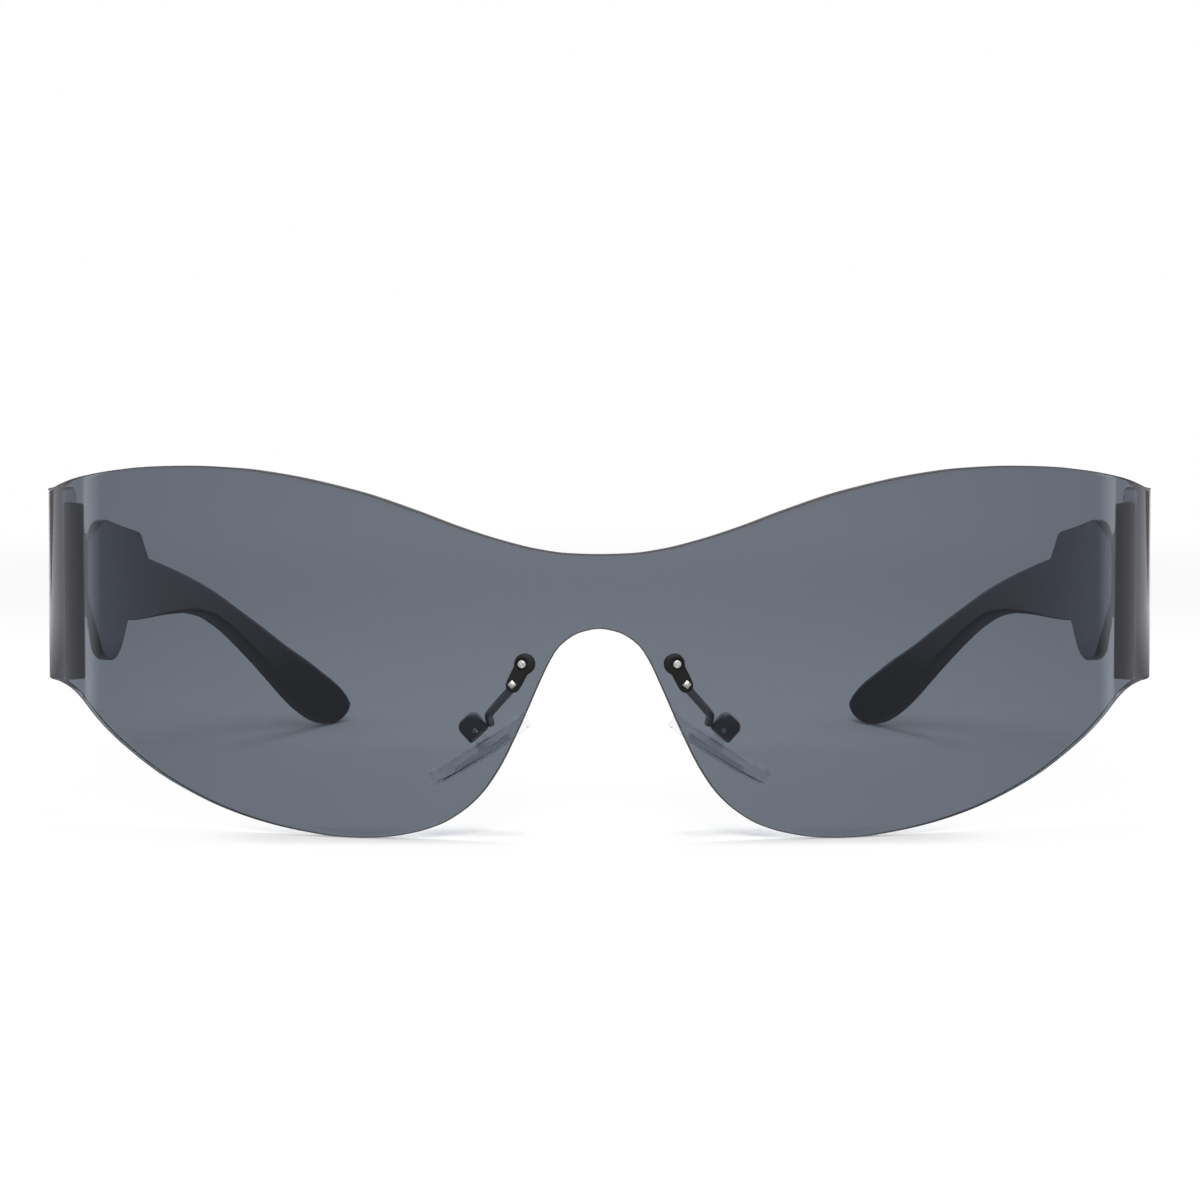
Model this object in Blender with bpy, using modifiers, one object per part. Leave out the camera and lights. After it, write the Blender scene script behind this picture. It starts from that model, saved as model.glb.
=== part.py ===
"""Rimless wrap-around sunglasses: a shield lens, two folding temples and two rocking nose pads.

Units are metres and +Z is up. The lens faces -Y and the temples run towards +Y, so +X is the wearer's left.
Depth is measured backwards from the middle of the lens, and a run is measured along the lens from its middle.
Each left piece is modelled, and its right twin is the mirror image.
"""

import math

import bmesh
import bpy
import numpy as np
from mathutils import Matrix, Vector

# Clearances
GAP = 0.0003            # between neighbouring pieces
FIT_GAP = 0.0002        # round small fasteners in their holes
CUT_OVERRUN = 0.0010    # how far a cutter runs past what it cuts

# Shield lens, seen from above: a front arc, a tighter corner arc and a straight tab on each side
HALF_WIDTH = 0.0747
FRONT_RADIUS = 0.1250
CORNER_RADIUS = 0.0140
TAB_LENGTH = 0.0079
LENS_THICKNESS = 0.0018

# Shield lens, seen from the front: heights above the ground, and runs at which the edges turn
BRIDGE_TOP = 0.0367
CREST_TOP = 0.0476
CREST_RUN = 0.0550
TAB_TOP = 0.04405
ARCH_TOP = 0.02724
LOBE_RUN = 0.0320
KNEE_RUN = 0.0790
TAB_BOTTOM = 0.01845
TAB_ROUNDING = 0.0040
BRIDGE_TO_CREST_SHARES = (
    (0.073, 0.011), (0.145, 0.06), (0.236, 0.171), (0.327, 0.314), (0.436, 0.511), (0.573, 0.724),
    (0.764, 0.917), (0.88, 0.98),
)
CREST_TO_TAB_SHARES = (
    (0.16, 0.028), (0.256, 0.075), (0.353, 0.163), (0.449, 0.27), (0.571, 0.456), (0.641, 0.592),
    (0.712, 0.752), (0.77, 0.873), (0.82, 0.965), (0.9, 0.995),
)
ARCH_TO_LOBE_SHARES = (
    (0.078, 0.018), (0.156, 0.079), (0.2, 0.156), (0.241, 0.257), (0.319, 0.463), (0.4, 0.654),
    (0.475, 0.781), (0.556, 0.868), (0.64, 0.926), (0.75, 0.968), (0.875, 0.993),
)
LOBE_TO_KNEE_SHARES = (
    (0.064, 0.006), (0.128, 0.024), (0.213, 0.057), (0.298, 0.103), (0.383, 0.163), (0.46, 0.232),
    (0.596, 0.384), (0.723, 0.576), (0.787, 0.69), (0.83, 0.783), (0.872, 0.885), (0.894, 0.926),
    (0.915, 0.955), (0.947, 0.982),
)
LENS_COLUMNS = 84       # on each side of the middle

# Hinge between an end piece and its temple
KNUCKLE_RADIUS = 0.0010
HINGE_SETBACK = 0.0016          # hinge axis in front of the rear edge of the lens tab
HINGE_BOTTOM = 0.0261
OUTER_KNUCKLE_HEIGHT = 0.0032
CENTRE_KNUCKLE_HEIGHT = 0.0045
KNUCKLE_ROOT = 0.0006           # how deep a knuckle runs into the piece that carries it
ROOT_WIDTH_SHARE = 0.7
HINGE_SCREW_RADIUS = 0.0004
HINGE_HEAD_RADIUS = 0.0009
HINGE_HEAD_HEIGHT = 0.0005
HINGE_SCREW_TAIL = 0.0004       # end of the screw below the lowest knuckle
SLOT_WIDTH = 0.0003
SLOT_DEPTH = 0.00022

# End piece, a bar bonded inside the lens tab
BAR_LENGTH = 0.0088
BAR_THICKNESS = 0.00175
BAR_TOP = 0.0420
BAR_BOTTOM = 0.0180
BAR_DROP = math.radians(4.0)    # slope of its two ends, lower at the back
BAR_EDGE = 0.0004

# Temple, seen from the side: a wing with an upper peak and a lower lobe, then the arm
TEMPLE_LENGTH = 0.1184
WING_LENGTH = 0.0312
LOBE_LENGTH = 0.0214
WING_TOP = 0.0390
WING_BOTTOM = 0.0190
WING_FRONT_TOP = 0.0363
WING_FRONT_BOTTOM = 0.0290
ARM_TOP = 0.0325
ARM_BOTTOM = 0.0241
TIP_HEIGHT = 0.0030
TIP_END_HEIGHT = 0.0009
WING_TOP_SHARES = (
    (0.096, 0.949), (0.176, 0.964), (0.244, 0.982), (0.314, 0.998), (0.353, 1.0), (0.41, 0.9935),
    (0.603, 0.968), (0.788, 0.946), (0.853, 0.937), (0.885, 0.928), (0.913, 0.903), (0.968, 0.856),
)
ARM_TOP_SHARES = (
    (0.021, 0.989), (0.0855, 0.957), (0.2125, 0.888), (0.336, 0.803), (0.456, 0.697), (0.575, 0.584),
    (0.69, 0.466), (0.805, 0.353), (0.858, 0.294), (0.918, 0.225), (0.946, 0.186), (0.973, 0.138),
    (0.991, 0.105),
)
LOBE_SHARES = (
    (0.12, 0.2), (0.215, 0.36), (0.275, 0.51), (0.345, 0.67), (0.405, 0.82), (0.465, 0.92),
    (0.555, 0.985), (0.64, 1.0), (0.74, 0.965), (0.795, 0.91), (0.855, 0.82), (0.93, 0.64),
    (0.975, 0.53),
)
ARM_BOTTOM_SHARES = (
    (0.029, 0.992), (0.088, 0.985), (0.176, 0.98), (0.233, 0.972), (0.286, 0.962), (0.332, 0.944),
    (0.386, 0.91), (0.44, 0.85), (0.494, 0.772), (0.546, 0.68), (0.598, 0.58), (0.65, 0.473),
    (0.701, 0.362), (0.752, 0.248), (0.803, 0.145), (0.853, 0.064), (0.89, 0.021), (0.925, 0.0),
    (0.951, 0.0126), (0.973, 0.042), (0.99, 0.08),
)

# Temple, seen from above, and in section
TOE_IN = math.radians(6.84)
BOW_RADIUS = 0.4970
WING_THICKNESS = 0.0017
ARM_THICKNESS = 0.0026
THICKENING_SHARES = (0.2, 0.5)  # of the temple's length, where the plate grows to the arm's thickness
TEMPLE_EDGE = 0.0007
TIP_ROUNDING = 0.0030
TIP_THICKNESS_SHARE = 0.4
TEMPLE_STATIONS = 64
EDGE_STEPS = 2

# Nose pad mount: a screw and a pin through the lens, a washer in front and a wire arm behind
MOUNT_RUN = 0.0098
MOUNT_HEIGHT = 0.0228
PIN_DISTANCE = 0.0029
PIN_LEAN = math.radians(25.8)   # from straight down, away from the nose
WASHER_THICKNESS = 0.0007
WASHER_HEAD_RADIUS = 0.00135
WASHER_HEAD_OFFSET = 0.00034    # head centre beside the screw, towards the nose
WASHER_TAIL_RADIUS = 0.00095
WASHER_TAIL_OFFSETS = (-0.00014, -0.0001)  # tail centre beside and above the pin
WASHER_EDGE = 0.00015
MOUNT_SCREW_RADIUS = 0.00042
MOUNT_HEAD_RADIUS = 0.0006
MOUNT_HEAD_HEIGHT = 0.00045
HEAD_RECESS = 0.00035
PIN_SIDE = 0.0008
PIN_TURN = math.radians(43)
PIN_PROUD = 0.00015             # how far the pin stands in front of the washer
BASE_THICKNESS = 0.0008
BASE_HEAD_RADIUS = 0.0011
BASE_TAIL_RADIUS = 0.00092

# Wire arm and pad box, on the left side of the wearer
WIRE_RADIUS = 0.00054
WIRE_MIDDLE = (0.0128, 0.0062, 0.0174)
WIRE_BEND = (0.0141, 0.0089, 0.0157)
WIRE_HOOK = (0.0143, 0.0100, 0.0151)
WIRE_END_BELOW = 0.0007         # end of the wire below the pad screw, along the box
BRAZE_DEPTH = 0.00012           # how far wire and box run into each other
WIRE_STEPS = 5                  # straight pieces between two of its points
PAD_X = 0.0161
PAD_DEPTH = 0.0115
PAD_SCREW_HEIGHT = 0.0133
BOX_TILT = math.radians(42)
BOX_LENGTH = 0.0032
BOX_WIDTH = 0.0030
BOX_ABOVE = 0.0019              # box above the pad screw
BOX_BELOW = 0.0010
BOX_WALL = 0.0005
BOX_ROUNDING = 0.0011
PAD_SCREW_RADIUS = 0.00035
PAD_HEAD_RADIUS = 0.0006
PAD_HEAD_HEIGHT = 0.0003

# Nose pad, a clear cushion moulded over a stiff core whose tongue hangs on the pad screw
PAD_TILT = math.radians(32)   # as it hangs, against the box's own tilt
PAD_LENGTH = 0.0146
PAD_WIDTH = 0.0072
PAD_THICKNESS = 0.0020
PAD_DROP = 0.0029              # pad screw above the middle of the pad
PAD_SHIFT = 0.0007              # middle of the pad outside the pad screw
PAD_NOSE_END_SHARE = 0.78       # width of the end nearest the nose
PAD_FULLNESS_SHARE = 0.62       # how far out the cage's inner rows stand
PAD_BOW = 0.00055               # rise of its ends above its middle
PAD_LEVELS = 2
CORE_LENGTH = 0.0080
CORE_WIDTH = 0.0036
CORE_THICKNESS = 0.00045
TONGUE_RADIUS = 0.0009
TONGUE_THICKNESS = 0.0010

ROUND_SIDES = 24
SMALL_SIDES = 16

# Sizes that follow from the ones above
FRONT_ANGLE = math.asin((HALF_WIDTH - CORNER_RADIUS) / (FRONT_RADIUS - CORNER_RADIUS))
FRONT_RUN = FRONT_RADIUS * FRONT_ANGLE
CORNER_RUN = FRONT_RUN + CORNER_RADIUS * (math.pi / 2 - FRONT_ANGLE)
LENS_RUN = CORNER_RUN + TAB_LENGTH
CORNER_X = HALF_WIDTH - CORNER_RADIUS
TAB_DEPTH = FRONT_RADIUS - (FRONT_RADIUS - CORNER_RADIUS) * math.cos(FRONT_ANGLE)
HINGE_X = HALF_WIDTH - LENS_THICKNESS - GAP - KNUCKLE_RADIUS
HINGE_DEPTH = TAB_DEPTH + TAB_LENGTH - HINGE_SETBACK
HINGE_TOP = HINGE_BOTTOM + 2 * OUTER_KNUCKLE_HEIGHT + CENTRE_KNUCKLE_HEIGHT + 2 * GAP
CENTRE_KNUCKLE_BOTTOM = HINGE_BOTTOM + OUTER_KNUCKLE_HEIGHT + GAP
TOP_KNUCKLE_BOTTOM = HINGE_TOP - OUTER_KNUCKLE_HEIGHT
BAR_BACK = -(KNUCKLE_RADIUS + GAP)
PIN_X = PIN_DISTANCE * math.sin(PIN_LEAN)
PIN_Z = -PIN_DISTANCE * math.cos(PIN_LEAN)
WASHER_FRONT = -(GAP + WASHER_THICKNESS)
RECESS_FLOOR = WASHER_FRONT + HEAD_RECESS
MOUNT_HEAD_FRONT = RECESS_FLOOR - FIT_GAP - MOUNT_HEAD_HEIGHT
BASE_FRONT = LENS_THICKNESS + GAP
FRONT_DEPTH = FRONT_RADIUS * (1 - math.cos(MOUNT_RUN / FRONT_RADIUS)) + MOUNT_HEAD_FRONT
ORIGIN_DEPTH = (FRONT_DEPTH + HINGE_DEPTH + TEMPLE_LENGTH) / 2


def place(x, depth, height):
    """Turn a place given by its depth behind the lens into the part's own frame."""
    return Vector((x, depth - ORIGIN_DEPTH, height))


def lens_plan(run, inset=0.0):
    """Place in plan, and turn, of the lens face a run out from the middle, inset from the outer face."""
    distance = abs(run)
    if distance <= FRONT_RUN:
        turn = distance / FRONT_RADIUS
        x = (FRONT_RADIUS - inset) * math.sin(turn)
        depth = FRONT_RADIUS - (FRONT_RADIUS - inset) * math.cos(turn)
    else:
        turn = min(FRONT_ANGLE + (distance - FRONT_RUN) / CORNER_RADIUS, math.pi / 2)
        x = CORNER_X + (CORNER_RADIUS - inset) * math.sin(turn)
        depth = TAB_DEPTH - (CORNER_RADIUS - inset) * math.cos(turn) + max(distance - CORNER_RUN, 0)
    return math.copysign(x, run), depth, math.copysign(turn, run)


def stretch(start, end, shares):
    """Points from start to end, where shares gives those between as shares of the two differences."""
    (x0, y0), (x1, y1) = start, end
    return [start] + [(x0 + u * (x1 - x0), y0 + v * (y1 - y0)) for u, v in shares] + [end]


def smooth_curve(points, at):
    """Read a curve through points that never overshoots them, level at both ends."""
    x, y = np.array(points).T
    steps = np.diff(x)
    slopes = np.diff(y) / steps
    tangents = np.zeros(len(x))
    for i in range(1, len(x) - 1):
        if slopes[i - 1] * slopes[i] > 0:
            tangents[i] = 2 * slopes[i - 1] * slopes[i] / (slopes[i - 1] + slopes[i])
    piece = np.clip(np.searchsorted(x, at, side="right") - 1, 0, len(steps) - 1)
    width = steps[piece]
    t = np.clip((at - x[piece]) / width, 0, 1)
    rise = 3 * t**2 - 2 * t**3
    leave = t - 2 * t**2 + t**3
    arrive = t**3 - t**2
    bend = width * (leave * tangents[piece] + arrive * tangents[piece + 1])
    return y[piece] + rise * (y[piece + 1] - y[piece]) + bend


def lens_edges(runs):
    """Heights of the lower and upper edges of the lens at distances from its middle."""
    upper = stretch((0, BRIDGE_TOP), (CREST_RUN, CREST_TOP), BRIDGE_TO_CREST_SHARES)
    upper += stretch((CREST_RUN, CREST_TOP), (CORNER_RUN, TAB_TOP), CREST_TO_TAB_SHARES)[1:]
    lower = stretch((0, ARCH_TOP), (LOBE_RUN, 0), ARCH_TO_LOBE_SHARES)
    lower += stretch((LOBE_RUN, 0), (KNEE_RUN, TAB_BOTTOM), LOBE_TO_KNEE_SHARES)[1:]
    past = np.clip(runs - (LENS_RUN - TAB_ROUNDING), 0, TAB_ROUNDING)
    rounding = TAB_ROUNDING - np.sqrt(TAB_ROUNDING**2 - past**2)
    return smooth_curve(lower, runs) + rounding, smooth_curve(upper, runs) - rounding


def even_stations(length, outlines, count):
    """Places along a length, as many as count, closer together where the outlines run steeply."""
    fine = np.linspace(0, length, 40 * count + 1)
    travel = np.zeros(len(fine))
    for outline in outlines(fine):
        travel[1:] += np.cumsum(np.hypot(np.diff(fine), np.diff(outline)))
    return np.interp(np.linspace(0, travel[-1], count + 1), travel, fine)


def finish_mesh(bm, name, sharp_angle=30):
    """Make a mesh of a bmesh, faces outwards and round faces smooth."""
    bmesh.ops.recalc_face_normals(bm, faces=bm.faces)
    mesh = bpy.data.meshes.new(name)
    bm.to_mesh(mesh)
    bm.free()
    mesh.shade_smooth()
    mesh.set_sharp_from_angle(angle=math.radians(sharp_angle))
    return mesh


def add_object(name, mesh, collection, location=(0, 0, 0), rotation=(0, 0, 0)):
    """Link a new object to a collection, placed by its location and rotation."""
    obj = bpy.data.objects.new(name, mesh)
    obj.location = location
    obj.rotation_euler = rotation
    collection.objects.link(obj)
    return obj


def evaluated_mesh(obj, name):
    """Mesh of an object as the viewport shows it, with loose caps welded and flat faces joined."""
    bpy.context.view_layer.update()
    evaluated = obj.evaluated_get(bpy.context.evaluated_depsgraph_get())
    mesh = bpy.data.meshes.new_from_object(evaluated)
    mesh.name = name
    return mesh


def plate_mesh(name, outline, thickness, facing=False):
    """Closed plate from a flat outline. It lies level, or faces the front where facing is true."""
    curve = bpy.data.curves.new(name, "CURVE")
    curve.dimensions = "2D"
    curve.fill_mode = "BOTH"
    curve.extrude = thickness / 2
    spline = curve.splines.new("POLY")
    spline.points.add(len(outline) - 1)
    for point, (u, v) in zip(spline.points, outline):
        point.co = (u, v, 0, 1)
    spline.use_cyclic_u = True
    guide = add_object(name + "_outline", curve, CUTTERS)
    mesh = evaluated_mesh(guide, name)
    bpy.data.objects.remove(guide)
    bpy.data.curves.remove(curve)
    bm = bmesh.new()
    bm.from_mesh(mesh)
    bpy.data.meshes.remove(mesh)
    bmesh.ops.remove_doubles(bm, verts=bm.verts, dist=0.01 * FIT_GAP)
    bmesh.ops.dissolve_limit(bm, angle_limit=math.radians(1), verts=bm.verts, edges=bm.edges)
    if facing:
        bmesh.ops.rotate(bm, verts=bm.verts, matrix=Matrix.Rotation(math.pi / 2, 3, "X"))
    return finish_mesh(bm, name)


def rod_mesh(name, radius, start, end, axis="Z", sides=ROUND_SIDES):
    """Closed cylinder along an axis, between two places on it."""
    bm = bmesh.new()
    bmesh.ops.create_cone(
        bm, cap_ends=True, segments=sides, radius1=radius, radius2=radius, depth=end - start)
    bmesh.ops.translate(bm, verts=bm.verts, vec=(0, 0, (start + end) / 2))
    if axis == "Y":
        bmesh.ops.rotate(bm, verts=bm.verts, matrix=Matrix.Rotation(-math.pi / 2, 3, "X"))
    return finish_mesh(bm, name)


def block_mesh(name, size, centre=(0, 0, 0)):
    """Closed block of a size about a centre."""
    bm = bmesh.new()
    bmesh.ops.create_cube(bm, size=1)
    bmesh.ops.scale(bm, verts=bm.verts, vec=size)
    bmesh.ops.translate(bm, verts=bm.verts, vec=centre)
    return finish_mesh(bm, name)


def arc(centre, radius, start, end, steps):
    """Points along an arc, both ends included, with angles in radians."""
    angles = np.linspace(start, end, steps + 1)
    return [(centre[0] + radius * math.cos(a), centre[1] + radius * math.sin(a)) for a in angles]


def bevel(obj, width, segments=1, angle=50):
    """Round the sharp edges of an object."""
    modifier = obj.modifiers.new("bevel", "BEVEL")
    modifier.width = width
    modifier.segments = segments
    modifier.limit_method = "ANGLE"
    modifier.angle_limit = math.radians(angle)


def combine(obj, mesh, operation):
    """Cut a mesh out of an object, or join it on, where the mesh is in the object's own coordinates."""
    tool = add_object(mesh.name, mesh, CUTTERS)
    tool.matrix_world = obj.matrix_world
    tool.hide_render = True
    tool.display_type = "WIRE"
    modifier = obj.modifiers.new(mesh.name, "BOOLEAN")
    modifier.operation = operation
    modifier.solver = "EXACT"
    modifier.object = tool


def add_part(name, mesh, material, location=(0, 0, 0), rotation=(0, 0, 0)):
    """Add a sub-part with its own material."""
    obj = add_object(name, mesh, PARTS, location, rotation)
    obj.matrix_world = Matrix.LocRotScale(Vector(location), obj.rotation_euler, None)
    if not mesh.materials:
        mesh.materials.append(material)
    return obj


def turned_part(name, profile, material, location, rotation=(0, 0, 0), along_y=False, sides=SMALL_SIDES):
    """Turn a profile of (radius, height) points, top to bottom, about Z, or about Y with its top in front."""
    mesh = bpy.data.meshes.new(name)
    if along_y:
        points = [(radius, -height, 0) for radius, height in profile]
    else:
        points = [(radius, 0, height) for radius, height in profile]
    mesh.from_pydata(points, [(i, i + 1) for i in range(len(points) - 1)], [])
    obj = add_part(name, mesh, material, location, rotation)
    screw = obj.modifiers.new("turn", "SCREW")
    screw.axis = "Y" if along_y else "Z"
    screw.steps = sides
    screw.render_steps = sides
    screw.use_merge_vertices = True
    screw.merge_threshold = 0.01 * FIT_GAP
    screw.use_normal_calculate = True
    screw.use_normal_flip = along_y
    screw.use_smooth_shade = False
    return obj


def material(name, colour, roughness, metallic=0.0, transmission=0.0):
    """Principled material of one colour."""
    made = bpy.data.materials.new(name)
    made.use_nodes = True
    shader = made.node_tree.nodes["Principled BSDF"]
    shader.inputs["Base Color"].default_value = (*colour, 1)
    shader.inputs["Roughness"].default_value = roughness
    shader.inputs["Metallic"].default_value = metallic
    shader.inputs["Transmission Weight"].default_value = transmission
    made.diffuse_color = (*colour, 1)
    return made


def make_twin(obj, name):
    """Mirror a finished left piece to the right side of the wearer."""
    mesh = evaluated_mesh(obj, name)
    flip = Matrix.Diagonal((-1, 1, 1, 1))
    mesh.transform(flip)
    mesh.flip_normals()
    twin = add_object(name, mesh, PARTS)
    twin.matrix_world = flip @ obj.matrix_world @ flip
    return twin


def make_lens():
    """Shield lens: one bent sheet with a screw hole and a pin hole beside each side of the nose arch."""
    half_runs = even_stations(LENS_RUN, lens_edges, LENS_COLUMNS)
    runs = np.concatenate((-half_runs[:0:-1], half_runs))
    lower, upper = lens_edges(np.abs(runs))
    bm = bmesh.new()
    bmesh.ops.create_grid(bm, x_segments=2 * LENS_COLUMNS, y_segments=1, size=1)
    for vert in bm.verts:
        column = round((vert.co.x + 1) * LENS_COLUMNS)
        x, depth, _ = lens_plan(runs[column])
        vert.co = place(x, depth, upper[column] if vert.co.y > 0 else lower[column])
    mesh = bpy.data.meshes.new("shield_lens")
    bm.to_mesh(mesh)
    bm.free()
    mesh.shade_smooth()
    lens = add_part("shield_lens", mesh, material("smoke_lens", (0.05, 0.055, 0.06), 0.05, 0.0, 0.8))
    wall = lens.modifiers.new("wall", "SOLIDIFY")
    wall.thickness = LENS_THICKNESS
    wall.offset = -1
    wall.use_even_offset = True
    for side, label in ((1, "left"), (-1, "right")):
        x, depth, turn = lens_plan(side * MOUNT_RUN)
        frame = Matrix.Translation(place(x, depth, MOUNT_HEIGHT)) @ Matrix.Rotation(turn, 4, "Z")
        reach = (-CUT_OVERRUN, LENS_THICKNESS + CUT_OVERRUN)
        holes = (
            ("screw_hole_", (0, 0, 0), MOUNT_SCREW_RADIUS + FIT_GAP),
            ("pin_hole_", (side * PIN_X, 0, PIN_Z), PIN_SIDE * math.sqrt(0.5) + FIT_GAP),
        )
        for hole, offset, radius in holes:
            cutter = rod_mesh(hole + label, radius, *reach, axis="Y", sides=SMALL_SIDES)
            cutter.transform(frame @ Matrix.Translation(offset))
            combine(lens, cutter, "DIFFERENCE")
    return lens


def knuckle_outline(direction):
    """Round hinge knuckle about the axis with a root that runs forwards (-1) or backwards (1)."""
    flank = math.radians(10)
    nose = arc((0, 0), KNUCKLE_RADIUS, -flank, math.pi + flank, ROUND_SIDES // 2)
    width = ROOT_WIDTH_SHARE * KNUCKLE_RADIUS
    depth = -(KNUCKLE_RADIUS + GAP + KNUCKLE_ROOT)
    outline = nose + [(-width, depth), (width, depth)]
    return [(u, -direction * v) for u, v in outline]


def knuckle_mesh(name, direction, bottom, height):
    """One hinge knuckle, between two heights, about the hinge axis."""
    mesh = plate_mesh(name, knuckle_outline(direction), height)
    mesh.transform(Matrix.Translation((0, 0, bottom + height / 2)))
    return mesh


def make_endpiece(plastic):
    """End piece: a bar that follows the inside of the lens tab, with the two outer hinge knuckles."""
    radius = CORNER_RADIUS - LENS_THICKNESS - GAP
    back = HINGE_DEPTH + BAR_BACK
    front = back - BAR_LENGTH
    start = math.acos((TAB_DEPTH - front) / radius)
    outer = arc((CORNER_X, TAB_DEPTH), radius, start - math.pi / 2, 0, 4)
    inner_x = HALF_WIDTH - LENS_THICKNESS - GAP - BAR_THICKNESS
    plan = outer + [(CORNER_X + radius, back), (inner_x, back), (inner_x, front)]
    outline = [(x - HINGE_X, depth - HINGE_DEPTH) for x, depth in plan]
    height = BAR_TOP - BAR_BOTTOM
    mesh = plate_mesh("endpiece_left", outline, height)
    middle = BAR_BACK - BAR_LENGTH / 2
    for vert in mesh.vertices:
        vert.co.z += BAR_BOTTOM + height / 2 - (vert.co.y - middle) * math.tan(BAR_DROP)
    endpiece = add_part("endpiece_left", mesh, plastic, place(HINGE_X, HINGE_DEPTH, 0))
    bevel(endpiece, BAR_EDGE, 2)
    lowest = knuckle_mesh("lower_knuckle", -1, HINGE_BOTTOM, OUTER_KNUCKLE_HEIGHT)
    highest = knuckle_mesh("upper_knuckle", -1, TOP_KNUCKLE_BOTTOM, OUTER_KNUCKLE_HEIGHT)
    combine(endpiece, lowest, "UNION")
    combine(endpiece, highest, "UNION")
    bore = rod_mesh("endpiece_bore", HINGE_SCREW_RADIUS + FIT_GAP,
                    HINGE_BOTTOM - CUT_OVERRUN, HINGE_TOP + CUT_OVERRUN)
    combine(endpiece, bore, "DIFFERENCE")
    return endpiece


def temple_edges(along):
    """Heights of the lower and upper edges of the temple at distances behind the hinge axis."""
    upper = [(0, WING_FRONT_TOP)]
    upper += [(u * WING_LENGTH, v * WING_TOP) for u, v in WING_TOP_SHARES]
    arm = TEMPLE_LENGTH - WING_LENGTH
    upper += [(WING_LENGTH, ARM_TOP)]
    upper += [(WING_LENGTH + u * arm, v * ARM_TOP) for u, v in ARM_TOP_SHARES]
    upper += [(TEMPLE_LENGTH, TIP_HEIGHT + TIP_END_HEIGHT / 2)]
    drop = WING_FRONT_BOTTOM - WING_BOTTOM
    lower = [(0, WING_FRONT_BOTTOM)]
    lower += [(u * LOBE_LENGTH, WING_FRONT_BOTTOM - v * drop) for u, v in LOBE_SHARES]
    lower += [(LOBE_LENGTH, ARM_BOTTOM)]
    rest = TEMPLE_LENGTH - LOBE_LENGTH
    lower += [(LOBE_LENGTH + u * rest, v * ARM_BOTTOM) for u, v in ARM_BOTTOM_SHARES]
    lower += [(TEMPLE_LENGTH, TIP_HEIGHT - TIP_END_HEIGHT / 2)]
    return smooth_curve(lower, along), smooth_curve(upper, along)


def temple_section(along, low, high):
    """Rounded upright section of the temple, as points round it at one distance behind the axis."""
    start, end = (share * TEMPLE_LENGTH for share in THICKENING_SHARES)
    grown = min(max((along - start) / (end - start), 0), 1)
    full = WING_THICKNESS + (ARM_THICKNESS - WING_THICKNESS) * grown * grown * (3 - 2 * grown)
    past = max(along - (TEMPLE_LENGTH - TIP_ROUNDING), 0) / TIP_ROUNDING
    round_share = math.sqrt(1 - past**2 * (1 - TIP_THICKNESS_SHARE**2))
    thick = full * round_share
    inner = -KNUCKLE_RADIUS - along * math.tan(TOE_IN) - along**2 / (2 * BOW_RADIUS)
    inner += (full - thick) / 2
    radius = min(TEMPLE_EDGE, 0.45 * thick, 0.45 * (high - low))
    corners = (
        (inner + thick - radius, high - radius, 0),
        (inner + radius, high - radius, 1),
        (inner + radius, low + radius, 2),
        (inner + thick - radius, low + radius, 3),
    )
    points = []
    for x, z, quarter in corners:
        begin = quarter * math.pi / 2
        points += arc((x, z), radius, begin, begin + math.pi / 2, EDGE_STEPS)
    return [(x, along, z) for x, z in points]


def loft_mesh(name, sections):
    """Closed loft through sections that have the same number of points."""
    bm = bmesh.new()
    rings = [[bm.verts.new(point) for point in section] for section in sections]
    for ring, following in zip(rings, rings[1:]):
        for i in range(len(ring)):
            j = (i + 1) % len(ring)
            bm.faces.new((ring[i], ring[j], following[j], following[i]))
    bm.faces.new(rings[0])
    bm.faces.new(rings[-1])
    return finish_mesh(bm, name)


def make_temple(plastic):
    """Temple: wing and arm in one bowed plate, with the centre knuckle at the front."""
    stations = even_stations(TEMPLE_LENGTH, temple_edges, TEMPLE_STATIONS)
    lower, upper = temple_edges(stations)
    sections = [temple_section(*station) for station in zip(stations, lower, upper)]
    mesh = loft_mesh("temple_left", sections)
    temple = add_part("temple_left", mesh, plastic, place(HINGE_X, HINGE_DEPTH, 0))
    clear = KNUCKLE_RADIUS + GAP
    lower_notch = rod_mesh("lower_notch", clear, HINGE_BOTTOM - CUT_OVERRUN, CENTRE_KNUCKLE_BOTTOM)
    upper_notch = rod_mesh("upper_notch", clear, TOP_KNUCKLE_BOTTOM - GAP, WING_TOP + CUT_OVERRUN)
    combine(temple, lower_notch, "DIFFERENCE")
    combine(temple, upper_notch, "DIFFERENCE")
    knuckle = knuckle_mesh("centre_knuckle", 1, CENTRE_KNUCKLE_BOTTOM, CENTRE_KNUCKLE_HEIGHT)
    combine(temple, knuckle, "UNION")
    bore = rod_mesh("temple_bore", HINGE_SCREW_RADIUS + FIT_GAP,
                    HINGE_BOTTOM - CUT_OVERRUN, HINGE_TOP + CUT_OVERRUN)
    combine(temple, bore, "DIFFERENCE")
    return temple


def make_hinge_screw(metal):
    """Slotted hinge screw, dropped in from above."""
    under = HINGE_TOP + FIT_GAP
    top = under + HINGE_HEAD_HEIGHT
    profile = (
        (0, top), (HINGE_HEAD_RADIUS, top), (HINGE_HEAD_RADIUS, under), (HINGE_SCREW_RADIUS, under),
        (HINGE_SCREW_RADIUS, HINGE_BOTTOM - HINGE_SCREW_TAIL), (0, HINGE_BOTTOM - HINGE_SCREW_TAIL),
    )
    screw = turned_part("hinge_screw_left", profile, metal, place(HINGE_X, HINGE_DEPTH, 0))
    slot = block_mesh("hinge_slot", (2 * HINGE_HEAD_RADIUS + CUT_OVERRUN, SLOT_WIDTH, 2 * SLOT_DEPTH), (0, 0, top))
    combine(screw, slot, "DIFFERENCE")
    return screw


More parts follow.
